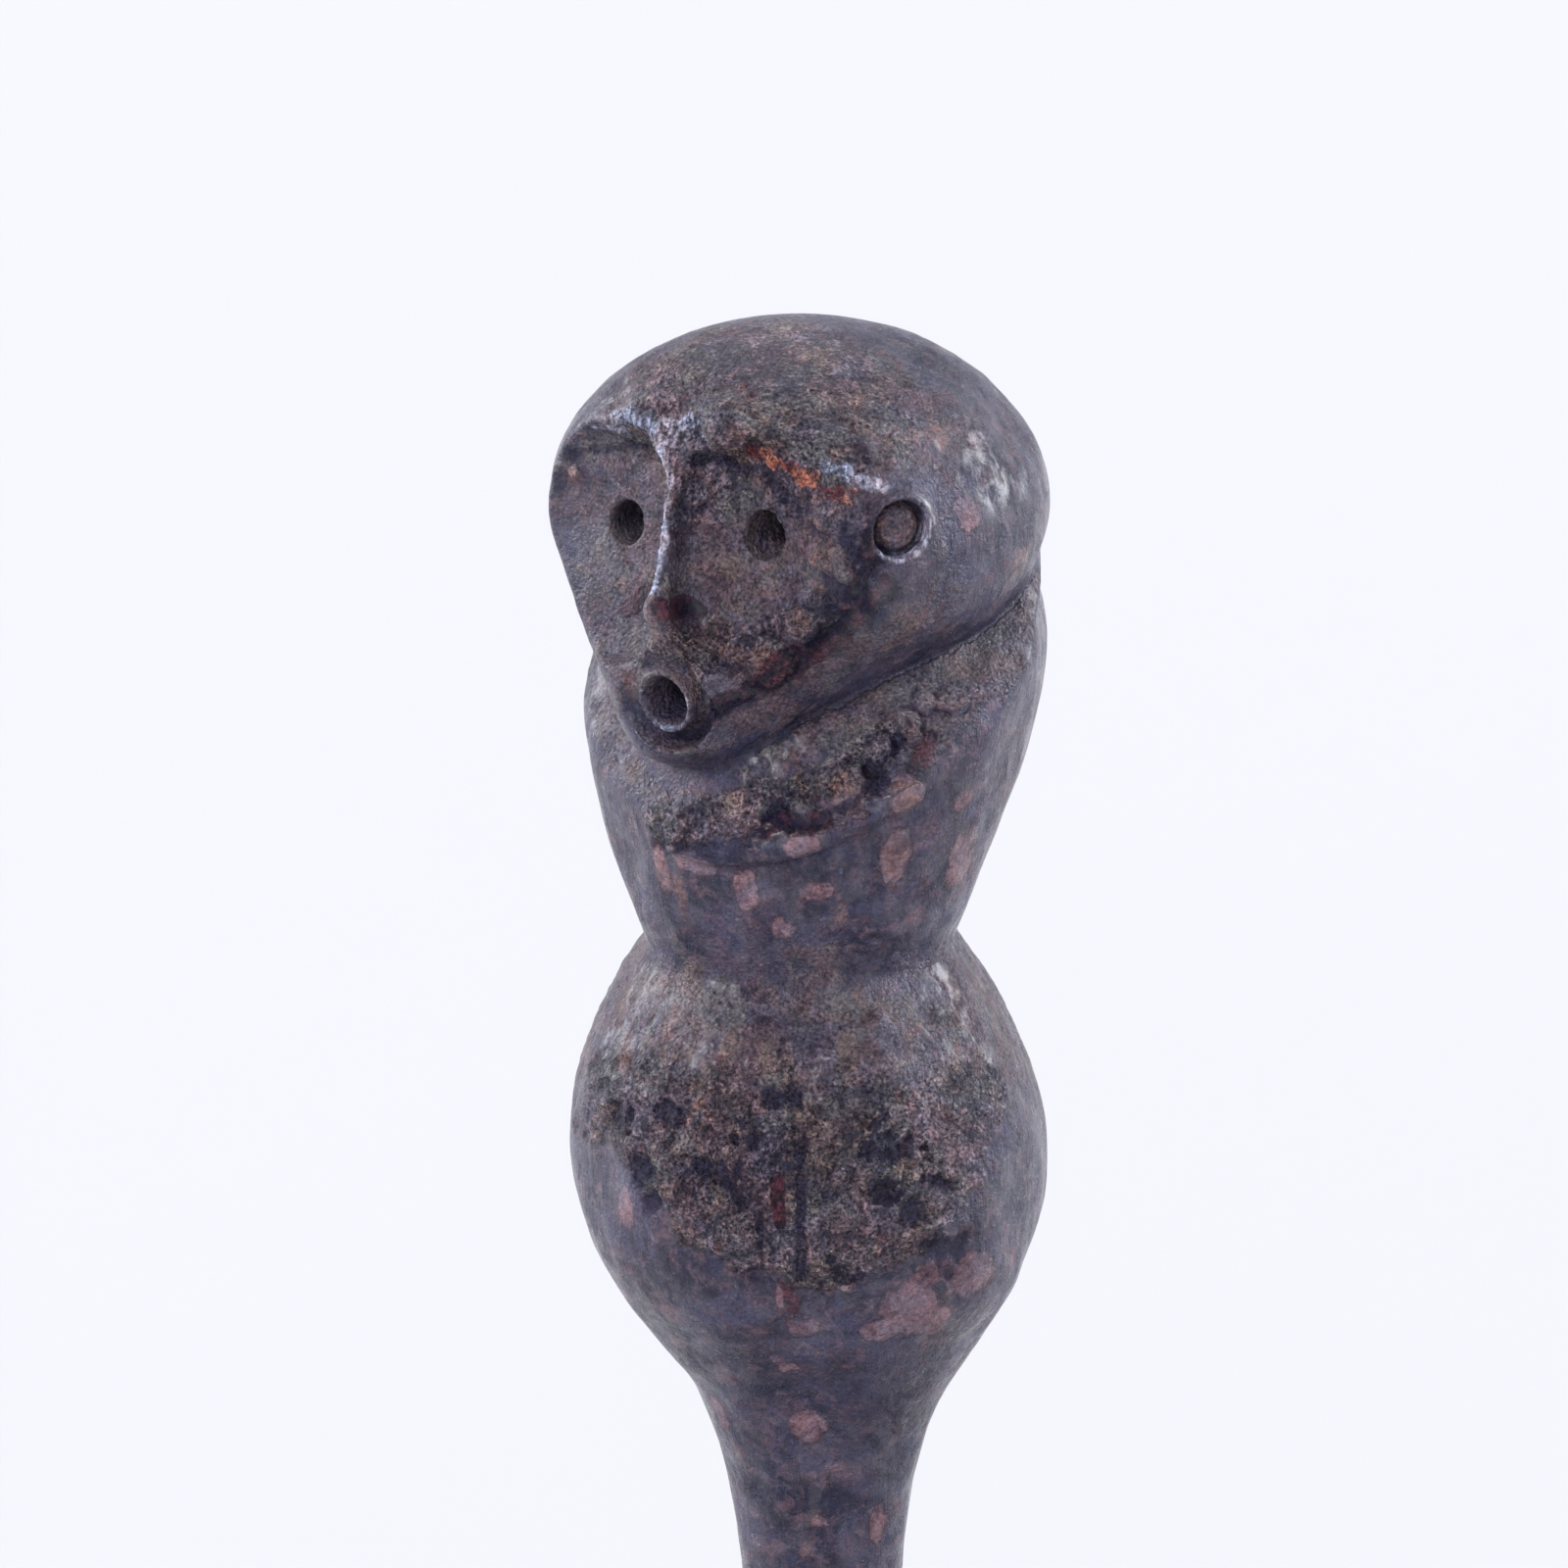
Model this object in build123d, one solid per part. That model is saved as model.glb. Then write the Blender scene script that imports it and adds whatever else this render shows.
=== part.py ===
from build123d import *
import os
from math import acos, atan2, copysign, cos, degrees, pi, sin, sqrt

# ---------------------------------------------------------------- driving sizes, mm
# Display stand: felt pads, block, pin with its washer and nut, and the disc under the figure
PAD_RADIUS = 5.0
PAD_THICKNESS = 1.5
PAD_INSET = 9.0
BLOCK_SIDE = 66.0
BLOCK_HEIGHT = 24.0
BLOCK_CHAMFER = 1.6
COUNTERBORE_RADIUS = 8.0
COUNTERBORE_DEPTH = 8.0

PIN_RADIUS = 2.0
PIN_ENGAGEMENT = 32.0
PIN_TIP_CHAMFER = 0.6
FLANGE_RADIUS = 5.0
FLANGE_THICKNESS = 1.6
TAIL_BEYOND_NUT = 1.5
WASHER_RADIUS = 4.5
WASHER_THICKNESS = 0.8
NUT_ACROSS_FLATS = 7.0
NUT_THICKNESS = 3.2

FOOT_DISC_RADIUS = 7.5
FOOT_DISC_THICKNESS = 1.5

RUNNING_CLEARANCE = 0.1
FITTING_CLEARANCE = 0.15
THREAD_CLEARANCE = 0.05
BORE_END_CLEARANCE = 1.0

# Carved figure, heights counted from its foot
SHAFT_LENGTH = 51.0
BELLY_HEIGHT = 96.0
WAIST_HEIGHT = 118.0
SHOULDER_HEIGHT = 148.0
HEAD_HEIGHT = 163.3

FOOT_RADIUS = 8.6
SHAFT_RADIUS = 8.0
BELLY_RADIUS = 24.7
WAIST_RADIUS = 16.2
SHOULDER_RADIUS = 23.6
BELLY_LEAN = -1.8
WAIST_LEAN = -2.2
SHOULDER_LEAN = -1.0
HEAD_LEAN = -2.5
DEPTH_RATIO = 0.93
SQUARENESS = 2.35

CREST_HEIGHT = 149.0
CREST_SLOPE = 38.0
CREST_TURN = -29.0
NECK_ACROSS = 20.8
NECK_ALONG = 25.0
NECK_RISE = 9.0
JAW_RISE = 2.0
JAW_SLOPE = 28.5

# Head, in its own frame: centre of the cranium, face towards -Y
HEAD_TURN = -38.0
FACE_ROLL = -5.0
CRANIUM_RADIUS = 25.3
CROWN_HEIGHT = 18.5
CHIN_RADIUS = 7.5
CHIN_FORWARD = 17.0
CHIN_DROP = 18.2
FACE_FORWARD = 23.4
NOSE_TIP_DROP = 4.4
NOSE_SLOPE = 19.0

SOCKET_SPACING = 10.2
SOCKET_FLOOR = 17.4
SOCKET_HALF_WIDTH = 9.7
SOCKET_INNER_CORNER = 6.0
SOCKET_OUTER_CORNER = 9.6
SOCKET_FILLET = 2.5
SOCKET_HALF_HEIGHT = 11.8
SOCKET_DROP = 1.2
SOCKET_LEAN = 10.0
SOCKET_TURN = 3.0

EYE_SPACING = 8.7
EYE_HEIGHT = 0.7
EYE_RADIUS = 2.0
EYE_DEPTH = 7.0

MOUTH_DROP = 15.4
MOUTH_FORWARD = 22.6
MOUTH_SLOPE = 8.0
LIP_RADIUS = 3.3
LIP_PROUD = 0.9
LIP_CUP_DEPTH = 1.6
LIP_WALL = 0.5
MOUTH_HOLE_RADIUS = 1.7
MOUTH_HOLE_DEPTH = 6.0
MOUTH_RECESS_RADIUS = 5.2
MOUTH_RECESS_DEPTH = 1.6

LEFT_EAR_TURN = 61.0
RIGHT_EAR_TURN = 82.0
EAR_HEIGHT = 3.2
EAR_RADIUS = 3.6
EAR_WALL = 0.7
EAR_PROUD = 0.5
EAR_CUP_DEPTH = 2.2

SLIT_CENTRE = -2.3
SLIT_BOTTOM = 86.7
SLIT_TOP = 99.7
SLIT_WIDTH = 1.0
SLIT_DEPTH = 2.6

# How finely the carved surfaces follow their outlines
SECTION_POINTS = 12
SECTION_COUNT = 18

# ---------------------------------------------------------------- worked-out places
block_bottom = PAD_THICKNESS
block_top = block_bottom + BLOCK_HEIGHT
foot_z = block_top + FOOT_DISC_THICKNESS
pin_top = foot_z + PIN_ENGAGEMENT
counterbore_top = block_bottom + COUNTERBORE_DEPTH
washer_bottom = counterbore_top - WASHER_THICKNESS
nut_bottom = washer_bottom - NUT_THICKNESS
pin_bottom = nut_bottom - TAIL_BEYOND_NUT
pad_offset = BLOCK_SIDE / 2 - PAD_INSET
FROM_BELOW = (Align.CENTER, Align.CENTER, Align.MIN)


def between(low, high, share):
    return low + (high - low) * share


def upright(radius, bottom, top):
    """A round bar about the stand's own axis, from one height to another."""
    return Pos(0, 0, bottom) * Cylinder(radius, top - bottom, align=FROM_BELOW)


# ---------------------------------------------------------------- carved figure
def carved_section(height, radius, lean):
    """One closed cross-section: an ellipse squared off a little, as knife work leaves it."""
    points = []
    for i in range(SECTION_POINTS):
        turn = 2 * pi * i / SECTION_POINTS
        across = copysign(abs(cos(turn)) ** (2 / SQUARENESS), cos(turn)) * radius
        deep = copysign(abs(sin(turn)) ** (2 / SQUARENESS), sin(turn)) * radius * DEPTH_RATIO
        points.append(Vector(across + lean, deep, height))
    return Face(Wire(Edge.make_spline(points, periodic=True)))


def carved_loft(outline, centre_line):
    """A solid whose radius follows the outline (radius, height) and whose middle follows the centre line."""
    profile = Spline(*[Vector(radius, height) for radius, height in outline])
    middle = Spline(*[Vector(lean, height) for lean, height in centre_line])
    low = outline[0][1]
    high = outline[-1][1]
    sections = []
    for i in range(SECTION_COUNT):
        point = profile @ (i / (SECTION_COUNT - 1))
        lean = (middle @ ((point.Y - low) / (high - low))).X
        sections.append(carved_section(point.Y, point.X, lean))
    return loft(sections)


def hips():
    """Shaft, belly and the tuck of the waist."""
    outline = (
        (FOOT_RADIUS, 0),
        (SHAFT_RADIUS, SHAFT_LENGTH / 2),
        (SHAFT_RADIUS + 0.8, SHAFT_LENGTH),
        (between(SHAFT_RADIUS, BELLY_RADIUS, 0.34), between(SHAFT_LENGTH, BELLY_HEIGHT, 0.40)),
        (between(SHAFT_RADIUS, BELLY_RADIUS, 0.83), between(SHAFT_LENGTH, BELLY_HEIGHT, 0.69)),
        (BELLY_RADIUS, BELLY_HEIGHT),
        (between(WAIST_RADIUS, BELLY_RADIUS, 0.62), between(BELLY_HEIGHT, WAIST_HEIGHT, 0.53)),
        (WAIST_RADIUS - 0.9, WAIST_HEIGHT),
        (WAIST_RADIUS - 5, WAIST_HEIGHT + 5),
    )
    centre_line = (
        (0.2, 0),
        (0, SHAFT_LENGTH),
        (BELLY_LEAN * 0.25, between(SHAFT_LENGTH, BELLY_HEIGHT, 0.5)),
        (BELLY_LEAN, BELLY_HEIGHT),
        (WAIST_LEAN, WAIST_HEIGHT),
    )
    return carved_loft(outline, centre_line)


def sloping_plane(height, slope):
    """A plane through the chest's middle at this height, falling towards the chin."""
    return Pos(SHOULDER_LEAN, 0, height) * Rot(0, 0, CREST_TURN) * Rot(slope, 0, 0)


def torso():
    """Chest that widens upwards from the waist, cut off by a shoulder that slopes down under the chin."""
    rise = SHOULDER_HEIGHT - WAIST_HEIGHT
    outline = (
        (WAIST_RADIUS - 4, WAIST_HEIGHT - 8),
        (WAIST_RADIUS, WAIST_HEIGHT),
        (between(WAIST_RADIUS, SHOULDER_RADIUS, 0.5), WAIST_HEIGHT + rise * 0.35),
        (between(WAIST_RADIUS, SHOULDER_RADIUS, 0.86), WAIST_HEIGHT + rise * 0.68),
        (SHOULDER_RADIUS, SHOULDER_HEIGHT),
        (SHOULDER_RADIUS - 2, SHOULDER_HEIGHT + 8),
        (SHOULDER_RADIUS - 8, SHOULDER_HEIGHT + 13),
    )
    centre_line = (
        (WAIST_LEAN, WAIST_HEIGHT - 8),
        (WAIST_LEAN + 0.3, WAIST_HEIGHT + rise / 2),
        (SHOULDER_LEAN, SHOULDER_HEIGHT),
        (SHOULDER_LEAN, SHOULDER_HEIGHT + 13),
    )
    reach = 4 * SHOULDER_RADIUS
    above = sloping_plane(CREST_HEIGHT, CREST_SLOPE) * Box(reach, reach, reach, align=FROM_BELOW)
    neck = sloping_plane(CREST_HEIGHT, CREST_SLOPE) * scale(
        Sphere(1), by=(NECK_ACROSS, NECK_ALONG, NECK_RISE)
    )
    return carved_loft(outline, centre_line) - above + neck


def head_blank():
    """Egg of revolution, crown up and chin down and forward, flattened from the crown."""
    flat = CROWN_HEIGHT / CRANIUM_RADIUS
    drop = CHIN_DROP / flat
    length = sqrt(CHIN_FORWARD**2 + drop**2)
    swing = acos((CRANIUM_RADIUS - CHIN_RADIUS) / length)
    brow_turn = (pi + swing) / 2
    with BuildPart() as egg:
        with BuildSketch(Plane.XZ):
            with BuildLine():
                crown = Vector(0, -CRANIUM_RADIUS)
                brow = Vector(CRANIUM_RADIUS * sin(brow_turn), CRANIUM_RADIUS * cos(brow_turn))
                cheek = Vector(CRANIUM_RADIUS * sin(swing), CRANIUM_RADIUS * cos(swing))
                jaw = Vector(CHIN_RADIUS * sin(swing), length + CHIN_RADIUS * cos(swing))
                dimple = Vector(CHIN_RADIUS * sin(swing / 2), length + CHIN_RADIUS * cos(swing / 2))
                chin = Vector(0, length + CHIN_RADIUS)
                ThreePointArc(crown, brow, cheek)
                Line(cheek, jaw)
                ThreePointArc(jaw, dimple, chin)
                Line(chin, crown)
            make_face()
        revolve(axis=Axis.Z)
    lean_back = 180 - degrees(atan2(CHIN_FORWARD, drop))
    return scale(Rot(lean_back, 0, 0) * egg.part, by=(1, 1, flat))


def face_tool(side, height, forward):
    """Places a tool made along +Z so that it points out of the face, towards -Y."""
    return Pos(side, -forward, height) * Rot(90, 0, 0)


def socket_tool():
    """Tall flat-floored recess left of the nose; with its mirror image it leaves the thin nose ridge."""
    outline = Rectangle(2 * SOCKET_HALF_WIDTH, 2 * SOCKET_HALF_HEIGHT)
    outline = fillet(outline.vertices().sort_by(Axis.X)[:2], SOCKET_INNER_CORNER)
    outline = fillet(outline.vertices().sort_by(Axis.X)[-2:], SOCKET_OUTER_CORNER)
    recess = extrude(outline, CRANIUM_RADIUS)
    recess = fillet(recess.faces().sort_by(Axis.Z)[0].edges(), SOCKET_FILLET)
    place = Pos(SOCKET_SPACING, -SOCKET_FLOOR, -SOCKET_DROP)
    return place * Rot(-SOCKET_LEAN, 0, SOCKET_TURN) * Rot(90, 0, 0) * recess


def ear_place(turn):
    """Where an ear ring sits on the side of the head, its axis pointing straight out."""
    level = sqrt(1 - (EAR_HEIGHT / CROWN_HEIGHT) ** 2) * CRANIUM_RADIUS
    return Rot(0, 0, turn) * Pos(0, -level, EAR_HEIGHT) * Rot(90, 0, 0)


def head():
    """The egg with its face carved in, in the head's own frame."""
    level = Rot(0, FACE_ROLL, 0)
    reach = 4 * CRANIUM_RADIUS
    flat_cut = face_tool(0, -NOSE_TIP_DROP, FACE_FORWARD) * Box(reach, reach, reach, align=FROM_BELOW)
    nose_cut = Pos(0, -FACE_FORWARD, -NOSE_TIP_DROP) * Rot(90 - NOSE_SLOPE, 0, 0)
    nose_cut *= Box(reach, reach, reach, align=FROM_BELOW)
    body = head_blank() - level * flat_cut - level * nose_cut
    body -= level * socket_tool()
    body -= level * mirror(socket_tool(), about=Plane.YZ)

    mouth = level * face_tool(0, -MOUTH_DROP, MOUTH_FORWARD) * Rot(MOUTH_SLOPE, 0, 0)
    body -= mouth * Cylinder(MOUTH_RECESS_RADIUS, 2 * MOUTH_RECESS_DEPTH)
    lip_length = LIP_PROUD + MOUTH_RECESS_DEPTH + CHIN_RADIUS
    body += mouth * Pos(0, 0, LIP_PROUD - lip_length) * Cylinder(LIP_RADIUS, lip_length, align=FROM_BELOW)
    cup = Cone(MOUTH_HOLE_RADIUS, LIP_RADIUS - LIP_WALL, LIP_CUP_DEPTH, align=FROM_BELOW)
    body -= mouth * Pos(0, 0, LIP_PROUD - LIP_CUP_DEPTH) * cup
    body -= mouth * Pos(0, 0, LIP_PROUD - MOUTH_HOLE_DEPTH) * Cylinder(
        MOUTH_HOLE_RADIUS, MOUTH_HOLE_DEPTH, align=FROM_BELOW
    )

    for side in (EYE_SPACING, -EYE_SPACING):
        eye = level * face_tool(side, EYE_HEIGHT, SOCKET_FLOOR)
        body -= eye * Pos(0, 0, -EYE_DEPTH) * Cylinder(EYE_RADIUS, 2 * EYE_DEPTH, align=FROM_BELOW)

    for turn in (LEFT_EAR_TURN, -RIGHT_EAR_TURN):
        ear = ear_place(turn)
        ear_length = EAR_PROUD + EAR_CUP_DEPTH + EAR_RADIUS
        body += ear * Pos(0, 0, EAR_PROUD - ear_length) * Cylinder(EAR_RADIUS, ear_length, align=FROM_BELOW)
        body -= ear * Pos(0, 0, EAR_PROUD - EAR_CUP_DEPTH) * Cylinder(
            EAR_RADIUS - EAR_WALL, 2 * EAR_CUP_DEPTH, align=FROM_BELOW
        )
    return body


def placed_head():
    """The head on its neck, its underside cut to a slope that leaves the chin clear of the chest."""
    reach = 4 * CRANIUM_RADIUS
    below = sloping_plane(CREST_HEIGHT + JAW_RISE, JAW_SLOPE) * Box(
        reach, reach, reach, align=(Align.CENTER, Align.CENTER, Align.MAX)
    )
    return Pos(HEAD_LEAN, 0, HEAD_HEIGHT) * Rot(0, 0, HEAD_TURN) * head() - below


def carved_figure():
    """Head, chest, belly and shaft cut from one billet, bored up from the foot for the stand's pin."""
    body = hips() + torso() + placed_head()
    slit_length = SLIT_TOP - SLIT_BOTTOM
    slit_reach = BELLY_RADIUS * DEPTH_RATIO - SLIT_DEPTH
    slit = Pos(SLIT_CENTRE, -slit_reach - SLIT_DEPTH, (SLIT_TOP + SLIT_BOTTOM) / 2)
    body -= slit * Box(SLIT_WIDTH, 2 * SLIT_DEPTH, slit_length)
    bore_depth = PIN_ENGAGEMENT + BORE_END_CLEARANCE
    body -= Cylinder(PIN_RADIUS + RUNNING_CLEARANCE, bore_depth, align=FROM_BELOW)
    return Pos(0, 0, foot_z) * body


# ---------------------------------------------------------------- display stand
def foot_disc():
    """Felt disc between the figure's foot and the block, with a hole for the pin."""
    hole = PIN_RADIUS + RUNNING_CLEARANCE
    return upright(FOOT_DISC_RADIUS, block_top, foot_z) - upright(hole, block_top, foot_z)


def mounting_pin():
    """Steel pin: a flange let into the block's top, a plain upper end and a tail for the nut."""
    shank = upright(PIN_RADIUS, pin_bottom, pin_top)
    shank = chamfer(shank.edges().filter_by(GeomType.CIRCLE), PIN_TIP_CHAMFER)
    return shank + upright(FLANGE_RADIUS, block_top - FLANGE_THICKNESS, block_top)


def base_block():
    """Square hardwood block, chamfered all round its top, with a counterbore for the nut underneath."""
    block = Pos(0, 0, block_bottom) * Box(BLOCK_SIDE, BLOCK_SIDE, BLOCK_HEIGHT, align=FROM_BELOW)
    block = chamfer(block.edges().filter_by(Axis.Z), BLOCK_CHAMFER)
    block = chamfer(block.faces().sort_by(Axis.Z)[-1].edges(), BLOCK_CHAMFER)
    block -= upright(PIN_RADIUS + FITTING_CLEARANCE, block_bottom, block_top)
    block -= upright(FLANGE_RADIUS + FITTING_CLEARANCE, block_top - FLANGE_THICKNESS, block_top)
    block -= upright(COUNTERBORE_RADIUS, block_bottom, counterbore_top)
    return block


def pin_washer():
    hole = PIN_RADIUS + FITTING_CLEARANCE
    return upright(WASHER_RADIUS, washer_bottom, counterbore_top) - upright(
        hole, washer_bottom, counterbore_top
    )


def pin_nut():
    flats = RegularPolygon(NUT_ACROSS_FLATS / 2, 6, major_radius=False)
    body = Pos(0, 0, nut_bottom) * extrude(flats, NUT_THICKNESS)
    return body - upright(PIN_RADIUS + THREAD_CLEARANCE, nut_bottom, washer_bottom)


def felt_pads():
    """Four discs glued under the block's corners."""
    pads = [
        Pos(x, y, 0) * Cylinder(PAD_RADIUS, PAD_THICKNESS, align=FROM_BELOW)
        for x in (-pad_offset, pad_offset)
        for y in (-pad_offset, pad_offset)
    ]
    return Compound(children=pads)


nodes = {
    "carved_figure": carved_figure(),
    "foot_disc": foot_disc(),
    "mounting_pin": mounting_pin(),
    "base_block": base_block(),
    "pin_washer": pin_washer(),
    "pin_nut": pin_nut(),
    "felt_pads": felt_pads(),
}
os.makedirs("parts", exist_ok=True)
for name, solid in nodes.items():
    export_step(solid, f"parts/{name}.step")
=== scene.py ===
import bpy
import numpy as np
from math import atan, cos, pi, radians, sin, tan
from mathutils import Matrix, Vector, noise
from mathutils.bvhtree import BVHTree


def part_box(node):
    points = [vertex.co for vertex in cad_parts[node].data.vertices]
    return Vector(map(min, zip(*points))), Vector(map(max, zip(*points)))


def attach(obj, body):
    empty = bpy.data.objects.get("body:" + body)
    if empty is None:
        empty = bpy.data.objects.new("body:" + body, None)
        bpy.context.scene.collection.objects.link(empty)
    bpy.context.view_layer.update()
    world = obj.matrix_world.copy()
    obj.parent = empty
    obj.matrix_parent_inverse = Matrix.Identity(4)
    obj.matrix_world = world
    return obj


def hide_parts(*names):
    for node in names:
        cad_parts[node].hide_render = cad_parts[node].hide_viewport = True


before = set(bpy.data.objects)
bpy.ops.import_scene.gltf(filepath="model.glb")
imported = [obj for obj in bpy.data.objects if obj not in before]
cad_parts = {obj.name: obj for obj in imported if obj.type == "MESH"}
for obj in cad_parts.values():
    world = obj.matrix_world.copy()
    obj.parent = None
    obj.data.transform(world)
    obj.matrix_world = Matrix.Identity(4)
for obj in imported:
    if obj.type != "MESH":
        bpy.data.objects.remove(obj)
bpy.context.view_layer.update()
MM = 0.001

# ---------------------------------------------------------------- camera, light and floor
# A tabletop studio: the lens stands 70 cm off and a little above the doll, and looks at its upper part.
# Large soft boxes light a pale sweep of paper, which throws light back up on to the wood.
foot_low, crown_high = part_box("carved_figure")
foot = foot_low.z
height = crown_high.z - foot

CAMERA_DISTANCE = 700 * MM
CAMERA_RISE = radians(17)
VIEW_WIDTH = 160 * MM
AIM_LEFT = 4 * MM
AIM_SHARE = 0.7343
aim = Vector((-AIM_LEFT, 0, foot + AIM_SHARE * height))
lens = bpy.data.cameras.new("camera")
lens.angle = 2 * atan(VIEW_WIDTH / 2 / CAMERA_DISTANCE)
lens.clip_start = 0.01
camera = bpy.data.objects.new("camera", lens)
bpy.context.scene.collection.objects.link(camera)
camera.location = aim + CAMERA_DISTANCE * Vector((0, -cos(CAMERA_RISE), sin(CAMERA_RISE)))
camera.rotation_euler = (pi / 2 - CAMERA_RISE, 0, 0)
bpy.context.scene.camera = camera


def far_soft_box(name, turn, rise, spread, strength, tint):
    """A large soft box far away: a sun that fills this angle. Turn 0 is the front, and right is positive."""
    lamp = bpy.data.lights.new(name, "SUN")
    lamp.angle = radians(spread)
    lamp.energy = strength
    lamp.color = tint
    lamp_object = bpy.data.objects.new(name, lamp)
    bpy.context.scene.collection.objects.link(lamp_object)
    turn, rise = radians(turn), radians(rise)
    way = Vector((sin(turn) * cos(rise), -cos(turn) * cos(rise), sin(rise)))
    lamp_object.rotation_euler = way.to_track_quat("Z", "Y").to_euler()


far_soft_box("key_box", -46, 34, 14, 2.05, (1.0, 0.97, 1.0))
far_soft_box("rim_box", 112, 19, 34, 4.2, (0.92, 0.95, 1.0))
far_soft_box("back_box", -126, 19, 34, 2.9, (0.92, 0.95, 1.0))
far_soft_box("front_box", -12, 6, 42, 0.9, (0.95, 0.96, 1.0))

# The room gives an even and slightly cool fill.
world = bpy.data.worlds.new("studio_air")
bpy.context.scene.world = world
world.use_nodes = True
air = world.node_tree.nodes["Background"]
air.inputs["Strength"].default_value = 0.60
air.inputs["Color"].default_value = (0.85, 0.87, 1.0, 1)
bpy.context.scene.view_settings.view_transform = "Standard"

PAPER_WIDTH = 8
bpy.ops.mesh.primitive_plane_add(size=PAPER_WIDTH, location=(0, 0, 0))
paper = bpy.context.object
paper.name = "paper_floor"
paper_skin = bpy.data.materials.new("pale_paper")
paper_skin.use_nodes = True
paper_shader = paper_skin.node_tree.nodes["Principled BSDF"]
paper_shader.inputs["Base Color"].default_value = (0.57, 0.56, 0.555, 1)
paper_shader.inputs["Roughness"].default_value = 0.9
paper.data.materials.append(paper_skin)

# ---------------------------------------------------------------- carved figure: its shape
# Head, chest, belly and stick are one billet of dense wood, roughed out with an adze and finished with a
# knife. Handling has rounded every edge, and dust, resin and oil have built up a crust on the faces that
# look up.
SKIN_PITCH = 0.36 * MM
MOST_TRIANGLES = 190000


def select_only(piece):
    bpy.ops.object.select_all(action="DESELECT")
    piece.select_set(True)
    bpy.context.view_layer.objects.active = piece


def finish_modifier(piece, kind, **settings):
    """Adds a modifier with these settings and applies it at once."""
    select_only(piece)
    modifier = piece.modifiers.new(kind.lower(), kind)
    for name, value in settings.items():
        setattr(modifier, name, value)
    bpy.ops.object.modifier_apply(modifier=modifier.name)


def copy_of_node(node, name):
    """A merged copy of a CAD node's mesh, to be worked on as a piece of its own."""
    select_only(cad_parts[node])
    bpy.ops.object.duplicate()
    piece = bpy.context.object
    piece.name = name
    piece.parent = None
    piece.data.materials.clear()
    bpy.ops.object.mode_set(mode="EDIT")
    bpy.ops.mesh.select_all(action="SELECT")
    bpy.ops.mesh.remove_doubles(threshold=0.001 * MM)
    bpy.ops.object.mode_set(mode="OBJECT")
    for key in [key for key in piece.keys() if key.startswith("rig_")]:
        del piece[key]
    return piece


def corners(piece):
    places = np.empty(len(piece.data.vertices) * 3)
    piece.data.vertices.foreach_get("co", places)
    return places.reshape(-1, 3)


def normals(piece):
    directions = np.empty(len(piece.data.vertices) * 3)
    piece.data.vertices.foreach_get("normal", directions)
    return directions.reshape(-1, 3)


def move_corners(piece, places):
    piece.data.vertices.foreach_set("co", places.ravel())
    piece.data.update()


def facing(turn, rise=0.0):
    """The way that a turn round the doll and a rise above level point, in degrees. Turn 0 is the front."""
    turn, rise = radians(turn), radians(rise)
    return np.array((sin(turn) * cos(rise), -cos(turn) * cos(rise), sin(rise)))


def fade(distance, near, far):
    """1 up to near, 0 from far, and a smooth slope between."""
    share = np.clip((far - distance) / (far - near), 0, 1)
    return share * share * (3 - 2 * share)


def mottle(places, size, octaves=3, shift=0.0):
    """Soft noise from about -1 to 1, in patches of this size in mm."""
    offset = Vector((shift, 2 * shift, -shift))
    return np.array([noise.fractal(Vector(place) / size + offset, 0.8, 2.1, octaves) for place in places])


def distance_to_line(places, line):
    """The shortest way from each place to a run of straight stretches."""
    nearest = np.full(len(places), np.inf)
    for start, end in zip(line[:-1], line[1:]):
        along = end - start
        share = np.clip((places - start) @ along / (along @ along), 0, 1)
        nearest = np.minimum(nearest, np.linalg.norm(places - start - share[:, None] * along, axis=1))
    return nearest


# Places on the carving are in mm above the middle of its foot, and turns and rises are in degrees.
AXIS = np.array((-2.0, 0.0, 0.0))
FOOT = np.array((0, 0, foot / MM))

# The head looks to one side and leans a little, and the mouth points slightly down.
HEAD_TURN = -38
HEAD_LEAN = -5
MOUTH_DROP = radians(8)
HEAD_CENTRE = np.array((-2.5, 0.0, 163.3))
face_turn = Matrix.Rotation(radians(HEAD_TURN), 3, "Z") @ Matrix.Rotation(radians(HEAD_LEAN), 3, "Y")
MOUTH = HEAD_CENTRE + np.array(face_turn @ Vector((0, -22.6, -15.4)))
mouth_way = np.array(face_turn @ Vector((0, -cos(MOUTH_DROP), -sin(MOUTH_DROP))))

# The billet is the CAD carving, with the hollow behind the collar filled before it is given an even skin.
COLLAR_LEFT = 1.0 * MM
COLLAR_HEIGHT = 149.0 * MM
COLLAR_SLOPE = radians(38)
COLLAR_TURN = radians(-29)
COLLAR_FILL = Vector((23.2, 28.6, 5.5))

figure = copy_of_node("carved_figure", "carved_doll")
bpy.ops.object.select_all(action="DESELECT")
bpy.ops.mesh.primitive_uv_sphere_add(segments=96, ring_count=48, radius=MM)
collar = bpy.context.object
collar.matrix_world = (
    Matrix.Translation((-COLLAR_LEFT, 0, foot + COLLAR_HEIGHT))
    @ Matrix.Rotation(COLLAR_TURN, 4, "Z")
    @ Matrix.Rotation(COLLAR_SLOPE, 4, "X")
    @ Matrix.Diagonal(COLLAR_FILL.to_4d())
)
# A ball fills the slit in the belly, which comes back later as a shallow cut painted dark as shade.
BELLY_FILL = 23.7 * MM
belly_middle = (-1.8 * MM, 0, foot + 95.5 * MM)
bpy.ops.mesh.primitive_uv_sphere_add(segments=96, ring_count=48, radius=BELLY_FILL, location=belly_middle)
core = bpy.context.object
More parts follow.
